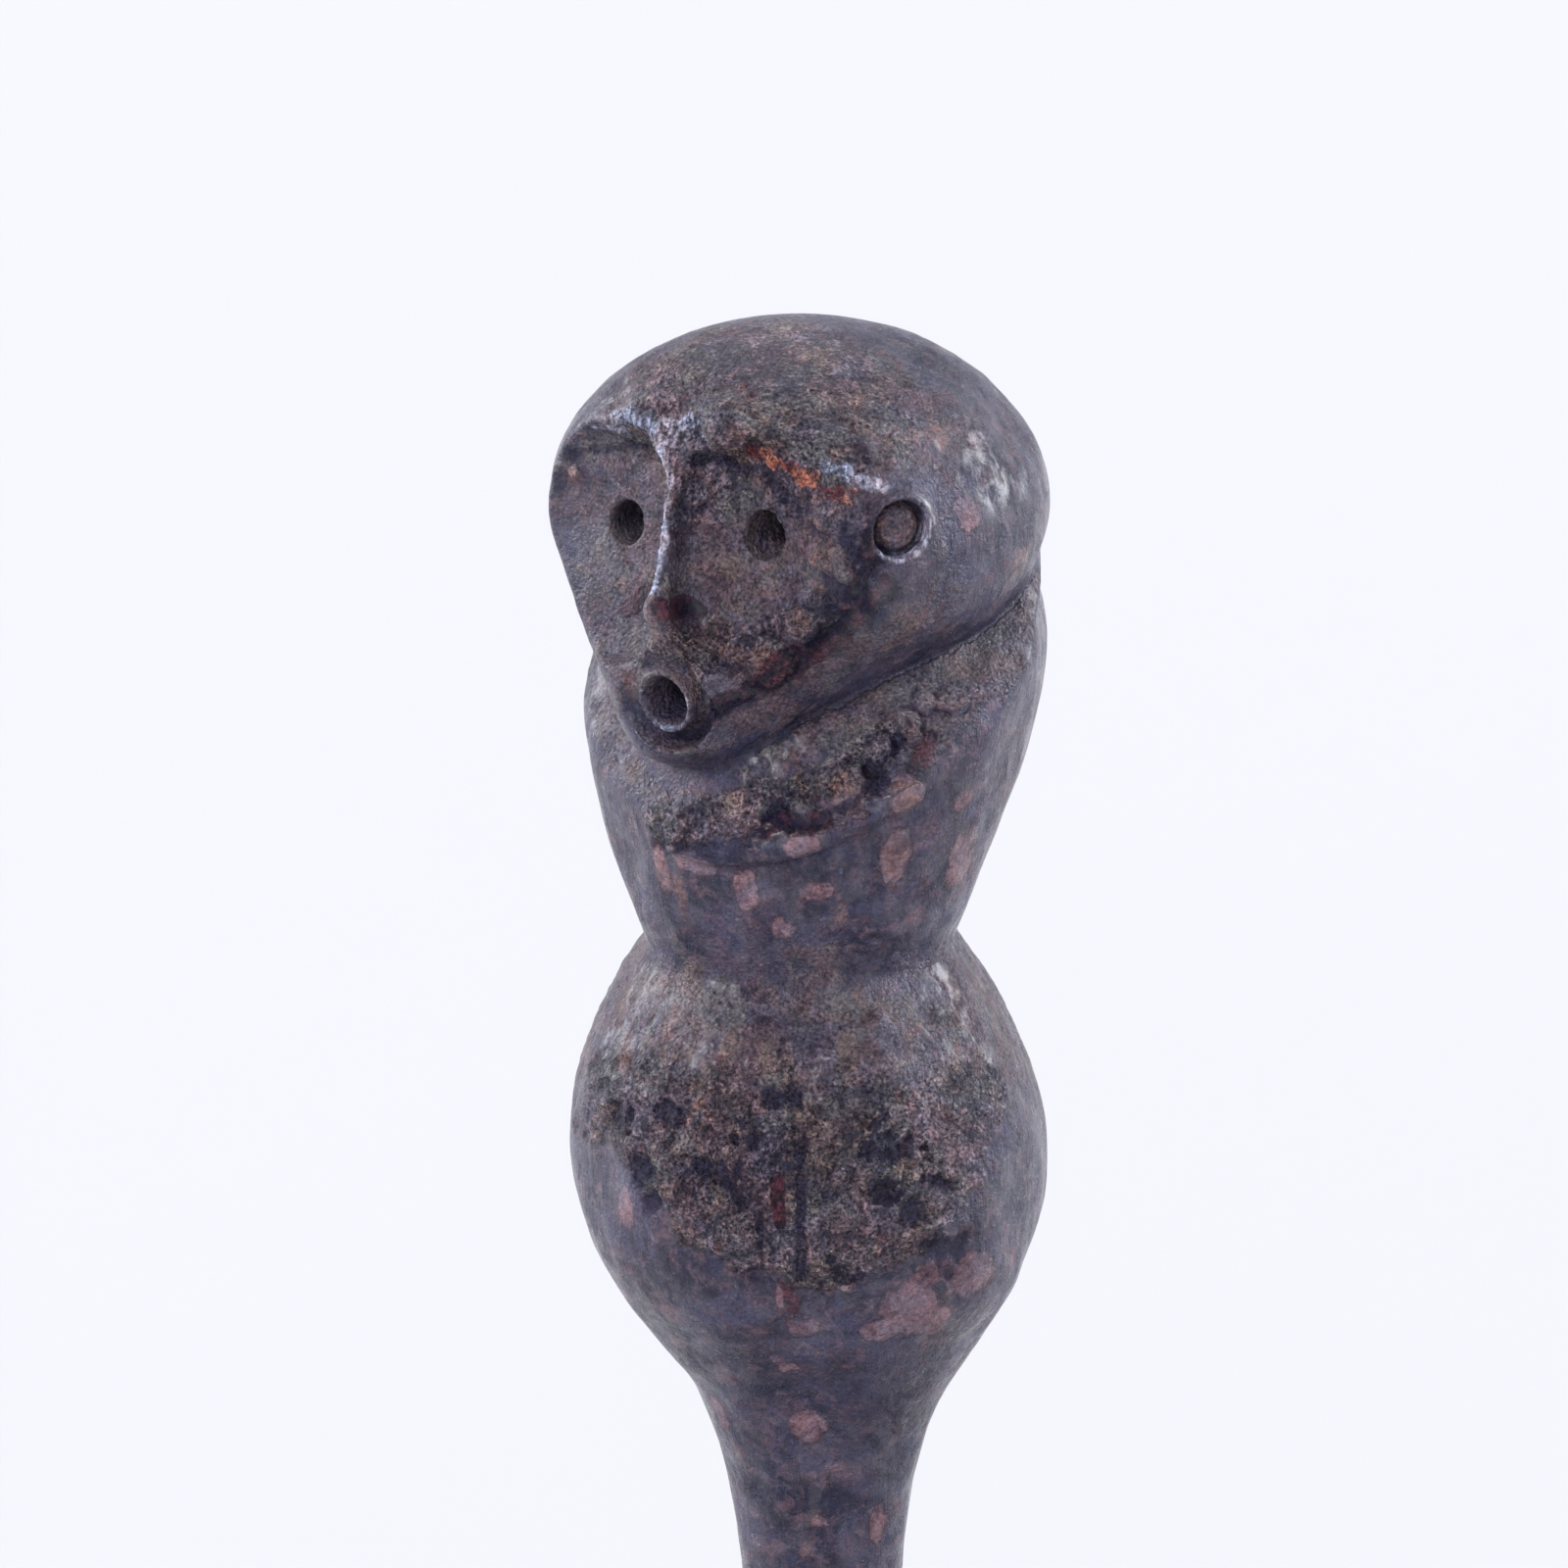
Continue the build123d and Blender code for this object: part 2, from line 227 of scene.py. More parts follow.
# A tilted ring fills the groove round the lips. It sinks below the groove on the right, which stays open there.
LIP_FILL_DEPTH = 2.2
LIP_FILL_TILT = tan(radians(18))
LIP_RING = 4.25 * MM
LIP_RING_THICKNESS = 1.3 * MM
HIGH_SIDE_TURN = radians(160)
right_of_mouth = np.cross((0, 0, 1), mouth_way)
above_mouth = np.cross(mouth_way, right_of_mouth)
high_side = above_mouth * sin(HIGH_SIDE_TURN) + right_of_mouth * cos(HIGH_SIDE_TURN)
ring_way = Vector(mouth_way - LIP_FILL_TILT * high_side)
ring_place = Matrix.Translation(Vector((MOUTH - LIP_FILL_DEPTH * mouth_way + FOOT) * MM))
bpy.ops.mesh.primitive_torus_add(
    major_segments=96, minor_segments=24, major_radius=LIP_RING, minor_radius=LIP_RING_THICKNESS
)
lip_fill = bpy.context.object
lip_fill.matrix_world = ring_place @ ring_way.to_track_quat("Z", "Y").to_matrix().to_4x4()
select_only(figure)
for filling in (collar, core, lip_fill):
    filling.select_set(True)
bpy.ops.object.join()
finish_modifier(figure, "REMESH", mode="VOXEL", voxel_size=SKIN_PITCH)

skin_tree = BVHTree.FromObject(figure, bpy.context.evaluated_depsgraph_get())
WELL_OUTSIDE = 80


def on_skin(turn, height):
    """The place on the carving at this turn and height above the foot, in mm."""
    outward = facing(turn)
    start = AXIS + FOOT + WELL_OUTSIDE * outward + np.array((0, 0, height))
    hit = skin_tree.ray_cast(Vector(start * MM), Vector(-outward))[0]
    return np.array(hit) / MM - FOOT


def line_on_skin(*marks):
    """A run of places that follows the surface through these marks."""
    run = [np.array(marks[0], float)]
    for mark in marks[1:]:
        run += [run[-1] + share * (mark - run[-1]) for share in (0.25, 0.5, 0.75)] + [np.array(mark, float)]
    return [on_skin(*mark) for mark in run]


skin = corners(figure) / MM - FOOT
EAR_TURN = 23
FAR_EAR_TURN = -120
EAR_HEIGHT = 166.5
FAR_AWAY = 99


def away_from_axis(places, centre, direction):
    """How far each place is from a straight axis, and how far along it."""
    offset = places - centre
    along = offset @ direction
    return np.linalg.norm(offset - along[:, None] * direction, axis=1), along


def ear_distance(places, turn):
    """How far each place is from an ear's middle line, and far away where it is inside the head."""
    away, along = away_from_axis(places, HEAD_CENTRE * (1, 1, 0) + (0, 0, EAR_HEIGHT), facing(turn))
    return np.where(along > 12, away, FAR_AWAY)


def mouth_distance(places):
    away, along = away_from_axis(places, MOUTH, mouth_way)
    return np.where(along > -8, away, FAR_AWAY)


def soften(name, chosen, rounds):
    """Smooths these corners of the carving, as rubbing does."""
    group = figure.vertex_groups.new(name=name)
    for index in np.nonzero(chosen)[0]:
        group.add([int(index)], 1.0, "REPLACE")
    finish_modifier(figure, "SMOOTH", factor=0.5, iterations=rounds, vertex_group=name)


# Handling has rounded the cut edges, but left the thin rims of the ears and the mouth.
either_ear = np.minimum(ear_distance(skin, EAR_TURN), ear_distance(skin, FAR_EAR_TURN))
rims = np.minimum(either_ear, mouth_distance(skin) + 0.7)
soften("worn_edges", rims > 4.4, 9)
finish_modifier(figure, "SMOOTH", factor=0.5, iterations=2)
# The crest of the collar flows into the chest.
crest = line_on_skin((-60, 134), (-45, 133), (-25, 131), (-8, 134), (5, 135), (20, 139), (33, 144), (50, 147))
soften("soft_crest", distance_to_line(skin, crest) < 6, 40)
# The lips run out into the face on their high side.
away = mouth_distance(skin)
soften("lip_flank", (away > 3.9) & (away < 9) & ((skin - MOUTH) @ high_side > -1.5), 30)
skin = corners(figure) / MM - FOOT


EDGE_SOFTNESS_SQUARED = 0.16


def knife_cut(turn, rise, height, span, depth):
    """Takes a flat cut off the carving round this height, and leaves its edges soft."""
    global skin
    outward = facing(turn, rise)
    reach = skin @ outward
    level = fade(np.abs(skin[:, 2] - height), 0.45 * span, span)
    faces_it = (skin - AXIS) @ facing(turn) > 0
    beyond = reach - reach[(level > 0.5) & faces_it].max() + depth
    taken = 0.5 * (beyond + np.sqrt(beyond**2 + EDGE_SOFTNESS_SQUARED))
    skin = skin - (taken * level * faces_it)[:, None] * outward


# Each cut's turn, rise, height, half height and depth.
CHEST_CUTS = (
    (63, -13, 138, 18, 0.9), (-60, -13, 136, 16, 0.8), (120, -12, 134, 18, 0.7), (180, -12, 136, 18, 0.8),
    (-118, -12, 134, 18, 0.7),
)
BELLY_CUTS = (
    (64, 0, 97, 17, 1.1), (-60, 0, 96, 16, 0.9), (48, 34, 110, 12, 0.5), (-48, 34, 110, 12, 0.5),
    (52, -36, 84, 12, 0.6), (-42, -36, 84, 12, 0.6), (122, 0, 97, 18, 0.9), (180, 0, 95, 18, 1.0),
    (-122, 0, 97, 18, 0.9),
)
CROWN_CUTS = (
    (78, 42, 173, 14, 0.8), (64, 66, 178, 12, 0.5), (130, 30, 171, 16, 0.8), (178, 38, 171, 16, 0.9),
    (-122, 40, 172, 15, 0.8),
)
STICK_CUTS = ((40, 0, 40, 30, 0.3), (-70, 0, 44, 30, 0.3), (160, 0, 40, 30, 0.35))
for cut in CHEST_CUTS + BELLY_CUTS + CROWN_CUTS + STICK_CUTS:
    knife_cut(*cut)


def press(centre, radius, depth, tall=1.0):
    """Pushes the skin out round a place, or in where the depth is negative, along its own normals."""
    global skin
    offset = skin - centre
    offset[:, 2] /= tall
    skin = skin + (depth * fade(np.linalg.norm(offset, axis=1), 0, radius))[:, None] * outwards


move_corners(figure, (skin + FOOT) * MM)
outwards = normals(figure)
# Two soft lobes stand on the upper belly with a valley between them, and the waist is cut deeper on one side.
press(on_skin(-28, 108), 9, 0.7)
press(on_skin(23, 108), 9, 0.7)
press(on_skin(-2, 107), 6, -0.8, tall=1.6)
press(on_skin(-88, 121), 8, -1.1)
# The eye hollows are dished, the brow has a knob, and the nose ends in a small bulb.
press(on_skin(-12, 162), 9, -0.7)
press(on_skin(-58, 162), 8, -0.4)
press(on_skin(-26, 176), 4.6, 1.3)
press(on_skin(-39, 156.8), 3.2, 1.1)
press(on_skin(-45, 173), 4.0, 0.4)

# The mouth is a dished cup, and the near ear is filled with dirt, so it is shallower than it was cut.
MOUTH_DISH = 1.1
EAR_DIRT = 1.5
away = mouth_distance(skin)
skin = skin - (MOUTH_DISH * fade(away, 1.9, 2.9) * (away > 1.5))[:, None] * mouth_way
skin = skin + (EAR_DIRT * fade(ear_distance(skin, EAR_TURN), 1.8, 2.8))[:, None] * facing(EAR_TURN)

# The crust has pits, and each row is a pit's turn, height and radius.
PITS = (
    (-52, 102.5, 1.3), (-37, 104, 2.0), (-43, 98, 1.6), (-38, 95, 1.3), (-18, 98, 1.7), (-11, 88.5, 1.4),
    (9, 89, 1.8), (21, 102.5, 2.5), (19, 98, 1.8), (34, 98, 1.5), (-6, 107, 1.7), (-10, 136.5, 1.8),
    (5, 136, 1.6), (20, 141, 1.4), (-25, 132, 1.6), (-42, 132, 1.1), (12, 164, 2.0), (4, 161, 1.2),
    (-33, 174, 1.3), (6, 158, 1.5), (16, 168, 1.0), (-29, 147, 1.3), (35, 90, 2.4), (-17, 132, 1.6),
    (13, 138, 1.3), (11, 159.5, 1.7), (2, 154.5, 1.2), (-12, 150, 1.1), (-27, 99.5, 1.2), (-14, 103, 1.3),
    (28, 95, 1.6), (0, 102, 1.2),
)
# Scabs of crust stand out of it: turn, height, radius and thickness.
SCABS = (
    (-18, 93, 2.6, 1.1), (9, 95.5, 2.3, 0.9), (-28, 102, 1.7, 0.8), (10, 139.5, 2.8, 1.1),
    (21, 142.5, 1.9, 0.9), (-1, 137, 1.5, 0.8), (30, 145, 1.8, 0.8), (43, 147, 1.6, 0.6), (-9, 153, 2.5, 0.7),
    (-1, 157, 1.9, 0.6), (-17, 153, 1.8, 0.7), (-28, 153, 1.9, 0.5), (26, 138, 2.2, 0.4), (36, 147, 1.3, 0.7),
    (-34, 99.5, 1.5, 0.7), (3, 103, 1.6, 0.6), (-26, 96, 1.4, 0.6), (28, 101, 1.3, 0.6), (-24, 174, 2.0, 0.7),
    (-36, 133, 1.4, 0.5), (4, 167, 0.9, 0.7), (3, 163.5, 0.9, 0.6), (-83, 167, 1.0, 0.5), (46, 113, 0.7, 0.4),
    (-33, 97, 1.5, 0.7), (15, 99, 1.4, 0.6),
)
# Where the crust has cracked along an edge, and painted shadow lines over shallow grooves under the two brows
# and beside the nose: line, width and share of a pit's depth.
CRACKS_AND_SHADOW_LINES = (
    (line_on_skin((-45, 133), (-25, 132), (-8, 136), (5, 136), (20, 141), (30, 145)), 1.5, 1.0),
    (line_on_skin((18, 164), (13, 160.5), (8, 156.5), (-4, 151.5), (-14, 148.5), (-24, 147)), 1.5, 1.0),
    (line_on_skin((-36, 171.5), (-24, 171), (-12, 170.5), (-2, 168), (6, 165)), 1.5, 0.8),
    (line_on_skin((-86, 168), (-80, 169.5), (-66, 171), (-52, 171), (-46.5, 168)), 1.0, 0.8),
    (line_on_skin((-37, 161), (-37, 157.5)), 0.8, 1.0),
    (line_on_skin((-11, 97), (-10.5, 89)), 0.8, 0.8),
    (line_on_skin((-17, 166), (-24, 160), (-38, 150)), 0.5, 0.35),
)


def rim_clearance(places):
    return np.minimum(ear_distance(places, EAR_TURN), mouth_distance(places))


def turns_of(places):
    return np.degrees(np.arctan2(places[:, 0] - AXIS[0], -places[:, 1]))


def by_line(places, marks, ragged, near, far):
    """How near each place is to a run of marks on the skin, from 0 to 1."""
    return fade(distance_to_line(places, line_on_skin(*marks)) + ragged, near, far)


def by_mark(places, turn, height, ragged, near, far):
    """How near each place is to one mark on the skin, from 0 to 1."""
    return fade(np.linalg.norm(places - on_skin(turn, height), axis=1) + ragged, near, far)


def crust_cover(places):
    """How thickly crust covers each place, from 0 to 1."""
    turn = turns_of(places)
    height = places[:, 2]
    ragged = mottle(places, 4.5, 4)
    low_edge = 87.5 + 0.0048 * (np.clip(turn, -50, 90) - 2) ** 2
    band = fade(low_edge - height + 3.4 * ragged, -1.5, 2.5) * fade(height - 104 + 5 * ragged, -3, 14)
    band *= fade(np.abs(turn + 5) + 14 * ragged, 52, 76)
    forehead = 0.8 * by_line(places, ((-52, 176), (-28, 178), (-6, 175.5), (4, 173)), 2.5 * ragged, 3, 8)
    crown = 0.72 * by_mark(places, -20, 179, 4 * ragged, 11, 22)
    cheek = 0.9 * by_line(places, ((-38, 152), (-28, 153), (-9, 153.5), (2, 158)), 1.5 * ragged, 1.6, 4.5)
    torn_edge = 0.9 * by_line(places, ((-42, 134), (-8, 138), (10, 140), (24, 143.5)), ragged, 1.2, 3.6)
    thickest = np.maximum.reduce((band, forehead, crown, cheek, torn_edge))
    return thickest * fade(4.6 - rim_clearance(places), 0, 1)


def film_cover(places, up):
    """How thickly a thin gritty film covers each place, from 0 to 1, with painted light along the jaw."""
    ragged = mottle(places, 7, 4, shift=17.0)
    height = places[:, 2]
    turn = turns_of(places)
    wiped_side = fade(34 - turn, 0, 26) * fade(turn, 100, 130)
    upper_belly = fade(np.abs(height - 109) + 5 * ragged, 5, 14) * (1 - 0.25 * wiped_side)
    # A lighter film along the jaw is painted light that lifts the shade under it.
    jaw_line = ((-40, 146), (-25, 145.5), (-8, 148), (6, 151), (22, 155), (36, 159))
    jaw_painted_light = 0.6 * by_line(places, jaw_line, ragged, 1.5, 4.5)
    collar = fade(np.abs(height - 144), 12, 17) * fade(0.5 - up, -0.1, 0.25)
    crown = 0.9 * by_mark(places, -30, 172, 5 * ragged, 13, 27)
    crown *= fade(160 - height, 0, 6)
    face = 0.85 * by_mark(places, -30, 161, 3 * ragged, 13, 21)
    temple = 0.55 * by_mark(places, 46, 174, 2 * ragged, 5, 11)
    anywhere = 0.18 * fade(0.9 - up, 0, 0.8)
    return np.maximum.reduce((upper_belly, collar, crown, face, jaw_painted_light, temple, anywhere)) + 0.18 * ragged


SLIT_X = -2.3
SLIT_MIDDLE = 93.3


def pit_and_shade_depth(places):
    """How deep in a pit, crack, slit or painted shadow line each place is, from 0 to 1."""
    ragged = mottle(places, 2.1, 4, shift=7.0)
    deepest = np.zeros(len(places))
    for turn, height, radius in PITS:
        away = np.linalg.norm(places - on_skin(turn, height), axis=1) + 1.3 * radius * ragged
        deepest = np.maximum(deepest, fade(away, 0.3 * radius, 1.5 * radius))
    # The filled slit is painted dark along its line over a shallow cut: painted shade for the slit's depth.
    slit = fade(np.abs(places[:, 0] - SLIT_X) + 0.2 * ragged, 0.35, 0.9) * (places[:, 1] < 0)
    deepest = np.maximum(deepest, slit * fade(np.abs(places[:, 2] - SLIT_MIDDLE) + ragged, 5.0, 6.6))
    for line, width, share in CRACKS_AND_SHADOW_LINES:
        away = distance_to_line(places, line) + 0.7 * width * np.abs(ragged)
        deepest = np.maximum(deepest, share * fade(away, 0.2 * width, width))
    return deepest


def scab_height(places):
    """How high the scabs stand at each place, in mm."""
    ragged = mottle(places, 1.9, 3, shift=3.0)
    highest = np.zeros(len(places))
    for turn, height, radius, thickness in SCABS:
        away = np.linalg.norm(places - on_skin(turn, height), axis=1) + 0.35 * radius * ragged
        highest = np.maximum(highest, thickness * fade(away, 0.72 * radius, radius))
    return highest


move_corners(figure, (skin + FOOT) * MM)
outwards = normals(figure)
cover = crust_cover(skin)
film = film_cover(skin, outwards[:, 2])
clods = np.maximum(mottle(skin, 1.6, 3, shift=11.0), -0.7)
swell = mottle(skin, 11, 2, shift=5.0)
tool_marks = mottle(skin * (1, 1, 0.45), 3.2, 2, shift=9.0)
# The relief dies out at the rims, at the foot, at the very top and in the bore for the pin.
edge_room = fade(4.2 - rim_clearance(skin), 0, 1) * fade(24 - skin[:, 2], 0, 8) * fade(skin[:, 2] - 178, 0, 3)
in_bore = (np.hypot(skin[:, 0], skin[:, 1]) < 3.2) & (skin[:, 2] < 38)
edge_room[in_bore] = 0
wrinkled = fade(np.linalg.norm((skin - on_skin(18, 122)) * (1, 1, 1.8), axis=1), 2.5, 5.5)
wrinkles = np.abs(mottle(skin * (0.6, 0.6, 1.3) + (0, 0, 0.3), 1.4, 2, shift=31.0))
SWELL_HEIGHT = 0.22
WRINKLE_DEPTH = 0.5
TOOL_MARK_HEIGHT = 0.09
GRIT_HEIGHT = 0.12
CRUST_THICKNESS = 0.16
CLOD_HEIGHT = 0.30
PIT_DEPTH = 0.42
rise = SWELL_HEIGHT * swell - WRINKLE_DEPTH * wrinkled * (0.4 - wrinkles) + TOOL_MARK_HEIGHT * tool_marks
rise = rise + GRIT_HEIGHT * film * clods + cover * (CRUST_THICKNESS + CLOD_HEIGHT * clods)
rise = rise + scab_height(skin) - PIT_DEPTH * pit_and_shade_depth(skin)
skin = skin + (rise * edge_room)[:, None] * outwards
move_corners(figure, (skin + FOOT) * MM)
triangles = sum(len(face.vertices) - 2 for face in figure.data.polygons)
finish_modifier(figure, "DECIMATE", ratio=MOST_TRIANGLES / triangles)
select_only(figure)
bpy.ops.object.shade_smooth()

# ---------------------------------------------------------------- carved figure: its patina
# Dark polished wood shows where hands have rubbed. A brown dusty crust, red-brown resin, a smear of orange
# pigment and pale rubbed ridges lie over it, and each has its own mask that is kept on the mesh.
# Painted shade darkens hollows, grooves and the mouth's cup, and painted highlights lie on the ear and mouth
# rims.
skin = corners(figure) / MM - FOOT
outwards = normals(figure)
edge_ends = np.empty(len(figure.data.edges) * 2, dtype=np.int32)
figure.data.edges.foreach_get("vertices", edge_ends)
edge_starts, edge_stops = edge_ends.reshape(-1, 2).T
neighbours = np.bincount(edge_ends, minlength=len(skin))


def relaxed(amounts, rounds):
    """Evens out an amount, or a place, over the mesh by repeated averages with its neighbours."""
    columns = amounts.reshape(len(neighbours), -1)
    for _ in range(rounds):
        columns = np.stack(
            [
                np.bincount(edge_starts, column[edge_stops], len(neighbours))
                + np.bincount(edge_stops, column[edge_starts], len(neighbours))
                for column in columns.T
            ],
            axis=1,
        ) / neighbours[:, None]
    return columns.reshape(amounts.shape)


def save_mask(name, amounts):
    layer = figure.data.attributes.new(name, "FLOAT", "POINT")
    layer.data.foreach_set("value", np.clip(amounts, 0, 1).astype(np.float32))


# Spots of old resin and smears of rust-brown dirt: turn, height, half width and half height.
SPOTS = (
    (10, 139.5, 2.4, 2.4), (26, 138, 1.8, 3.2), (27, 131.5, 1.6, 3.4), (-32, 130.5, 2.3, 1.4),
    (0, 133.5, 1.9, 1.6), (4, 128, 2.0, 1.1), (-7, 123.5, 1.4, 1.3), (45, 137, 1.0, 1.3), (51, 130, 2.0, 4.2),
    (-18, 128, 1.2, 3.0), (43, 147, 1.7, 0.9), (21, 142.5, 1.5, 1.2), (-48, 93.5, 1.3, 2.4),
    (27, 92.5, 1.3, 1.2), (28, 84, 3.2, 3.4), (36, 82, 2.4, 2.0), (22, 81.5, 2.2, 1.4), (34, 88, 2.2, 1.4),
    (44, 87, 3.0, 2.6), (-5, 86, 1.0, 2.4), (0, 82, 1.8, 1.2), (2, 68, 1.9, 2.0), (-6, 76.5, 1.2, 0.7),
    (-48, 68, 1.2, 3.0), (11, 56, 0.9, 0.8), (47, 55, 1.0, 2.6), (44, 177, 1.4, 1.0), (54, 173, 1.4, 1.4),
    (41, 167, 1.6, 1.8), (30, 156.5, 1.6, 1.2), (-6, 147.5, 1.6, 1.0), (-44, 112, 1.0, 3.6),
    (-45, 128, 0.9, 5.0),
)
RUST = (
    (-44, 112.5, 1.3, 4.0), (-24, 110.3, 0.9, 1.0), (-45, 128.5, 0.9, 5.5), (59, 115, 1.2, 2.2),
    (-40, 126, 0.8, 3.5), (-6, 97, 1.0, 1.4), (-56, 108, 1.0, 3.0), (-8, 153.2, 2.4, 1.6), (-18, 153, 1.8, 1.1),
    (-1, 157, 1.7, 1.8), (26, 138, 1.5, 2.6), (27, 131.5, 1.3, 3.0), (10, 139.5, 1.8, 1.6), (4, 167, 0.8, 0.8),
    (3, 163.5, 0.8, 0.8), (-83, 167, 0.9, 0.9), (12, 126, 0.8, 2.6), (62, 160, 2.0, 1.6), (-22, 178, 1.5, 0.8),
    (40, 174, 1.6, 1.2),
)
spot_shape = 0.25 * mottle(skin, 1.8, 4, shift=13.0)


def oval_marks(table, ragged, near, far):
    """How far each place lies inside the ovals of a table, from 0 to 1."""
    inside = np.zeros(len(skin))
    for turn, height, half_width, half_height in table:
        offset = skin - on_skin(turn, height)
        offset[:, 2] *= half_width / half_height
        inside = np.maximum(inside, fade(np.linalg.norm(offset, axis=1) / half_width + ragged, near, far))
    return inside


spots = oval_marks(SPOTS, spot_shape, 0.75, 1.35)
rust = oval_marks(RUST, 1.3 * spot_shape, 0.4, 1.5)

broad = mottle(skin, 6, 3, shift=21.0)
frayed = mottle(skin, 1.7, 4, shift=27.0)


def line_marks(lines, fray, raggedness, near, far):
    """How far each place lies inside any of these lines. Near and far are shares of the line's width."""
    inside = np.zeros(len(skin))
    for line, width in lines:
        away = distance_to_line(skin, line) + raggedness * width * fray
        inside = np.maximum(inside, fade(away, near * width, far * width))
    return inside


# Runs of resin: line and width.
resin_lines = (
    (line_on_skin((19, 161), (9, 156), (-1, 153.5), (-10, 150.5), (-23, 147.5)), 1.4),
    (line_on_skin((15, 166), (10, 158)), 1.3),
    (line_on_skin((-9, 135.5), (5, 136.5)), 1.3),
    (line_on_skin((30, 141), (34, 144)), 1.3),
    (line_on_skin((-38, 157.5), (-32, 156.5)), 0.9),
    (line_on_skin((-54, 157), (-60, 155)), 1.2),
    (line_on_skin((-6.5, 99), (-6, 94.5)), 0.6),
    (line_on_skin((-5, 88), (-3, 85)), 0.7),
)
resin = line_marks(resin_lines, broad, 0.7, 0.5, 1.5)
pigment_line = line_on_skin((-17, 173), (-6, 172), (1, 171), (10, 169.8))
pigment = fade(distance_to_line(skin, pigment_line) + 0.9 * frayed, 0.25, 1.15)

ear = ear_distance(skin, EAR_TURN)
far_ear = ear_distance(skin, FAR_EAR_TURN)
mouth = mouth_distance(skin)
# Ridges that hands have rubbed pale: line and width.
rubbed_lines = (
    (line_on_skin((-72, 172.8), (-60, 173.8), (-48, 174), (-39, 174.8)), 1.4),
    (line_on_skin((-47, 173), (-43, 171.5)), 1.7),
    (line_on_skin((-46, 174), (-42, 170), (-41, 166), (-40, 162), (-39.6, 158)), 0.8),
    (line_on_skin((-38, 174.5), (-33, 175.6), (-27, 176.8), (-23, 176)), 0.7),
    (line_on_skin((-22, 175.5), (-22.5, 173.5)), 0.5),
    (line_on_skin((-26, 173.6), (-31, 174.2)), 0.6),
    (line_on_skin((7, 172.3), (13, 171.8), (18, 170.6)), 1.0),
)
rubbed_and_rim_highlight = line_marks(rubbed_lines, frayed, 0.8, 0.2, 1.5)
fine_relief = np.sum((relaxed(skin, 6) - skin) * outwards, axis=1)
broad_relief = np.sum((relaxed(skin, 60) - skin) * outwards, axis=1)
# The rims of the ear and the mouth are painted pale on their right and lower sides: a painted highlight where
# light catches them.
EAR_RIM = 3.0
MOUTH_RIM = 2.9
LIP_RIM = 4.4
EAR_SLOPE = 0.6
MOUTH_SLOPE = 1.3
right_way = facing(HEAD_TURN + 90)
EAR_RIGHT = on_skin(EAR_TURN, EAR_HEIGHT) @ right_way - EAR_SLOPE * EAR_HEIGHT
MOUTH_LOW = MOUTH @ right_way - MOUTH_SLOPE * MOUTH[2]
to_the_right = skin @ right_way - EAR_SLOPE * skin[:, 2]
low_down = skin @ right_way - MOUTH_SLOPE * skin[:, 2]
ear_rim_highlight = fade(np.abs(ear - EAR_RIM), 0.12, 0.5) * fade(EAR_RIGHT - to_the_right, -2.5, -0.5)
mouth_rim_highlight = fade(np.abs(mouth - MOUTH_RIM), 0.12, 0.45) * fade(MOUTH_LOW - low_down, -2.5, 0.5)
rubbed_and_rim_highlight = np.maximum.reduce((0.9 * rubbed_and_rim_highlight, 0.8 * ear_rim_highlight, 0.6 * mouth_rim_highlight))

save_mask("crust", relaxed(crust_cover(skin), 1))
# Painted shade inside the mouth's cup, and in the open groove below the lip on its right.
mouth_shade = 0.8 * fade(mouth, 2.1, 2.9)
under_lip_shade = fade(np.abs(mouth - LIP_RIM), 0.3, 1.0) * fade(MOUTH_LOW - low_down, -4.5, -2.0)
under_lip_shade *= fade(skin[:, 2], MOUTH[2] + 1, MOUTH[2] + 3)
save_mask("pits_and_shade", np.maximum.reduce((pit_and_shade_depth(skin), mouth_shade, under_lip_shade)))
save_mask("scabs", scab_height(skin) * 1.3)
save_mask("spots", spots)
save_mask("resin", resin)
save_mask("pigment", pigment)
save_mask("rubbed_and_rim_highlight", rubbed_and_rim_highlight)
# How hollow each place is, for painted shade in the hollows; the near eye's socket is left out of it.
in_eye = fade(np.linalg.norm(skin - on_skin(-12, 163), axis=1), 2.5, 3.5)
save_mask("hollows", (fine_relief * 2.2 + broad_relief * 0.3) * (1 - in_eye))
inside_ear = fade(np.minimum(ear, far_ear), 2.2, 3.2)
save_mask("rust", np.maximum(rust, 0.55 * inside_ear))
save_mask("dust_and_jaw_light", np.maximum(film_cover(skin, outwards[:, 2]), inside_ear))


def plug_in(tree, made, plugs):
    """Sets or connects a node's inputs."""
    for socket, value in plugs.items():
        if isinstance(value, bpy.types.NodeSocket):
            tree.links.new(value, made.inputs[socket])
        else:
            made.inputs[socket].default_value = value
    return made


def put(tree, kind, plugs=(), **settings):
    """Adds a shader node, applies its settings, and sets or connects its inputs."""
    made = tree.nodes.new("ShaderNode" + kind)
    for name, value in settings.items():
        setattr(made, name, value)
    return plug_in(tree, made, dict(plugs))


def maths(tree, operation, first, second=0.0):
    return put(tree, "Math", {0: first, 1: second}, operation=operation).outputs[0]


def mixed(tree, share, first, second, blend="MIX"):
    """A colour between two colours."""
    return put(tree, "Mix", {0: share, 6: first, 7: second}, data_type="RGBA", blend_type=blend).outputs[2]


def step(tree, value, low, high):
    """A smooth step from 0 at low to 1 at high."""
    plugs = {"Value": value, "From Min": low, "From Max": high}
    return put(tree, "MapRange", plugs, interpolation_type="SMOOTHSTEP").outputs["Result"]


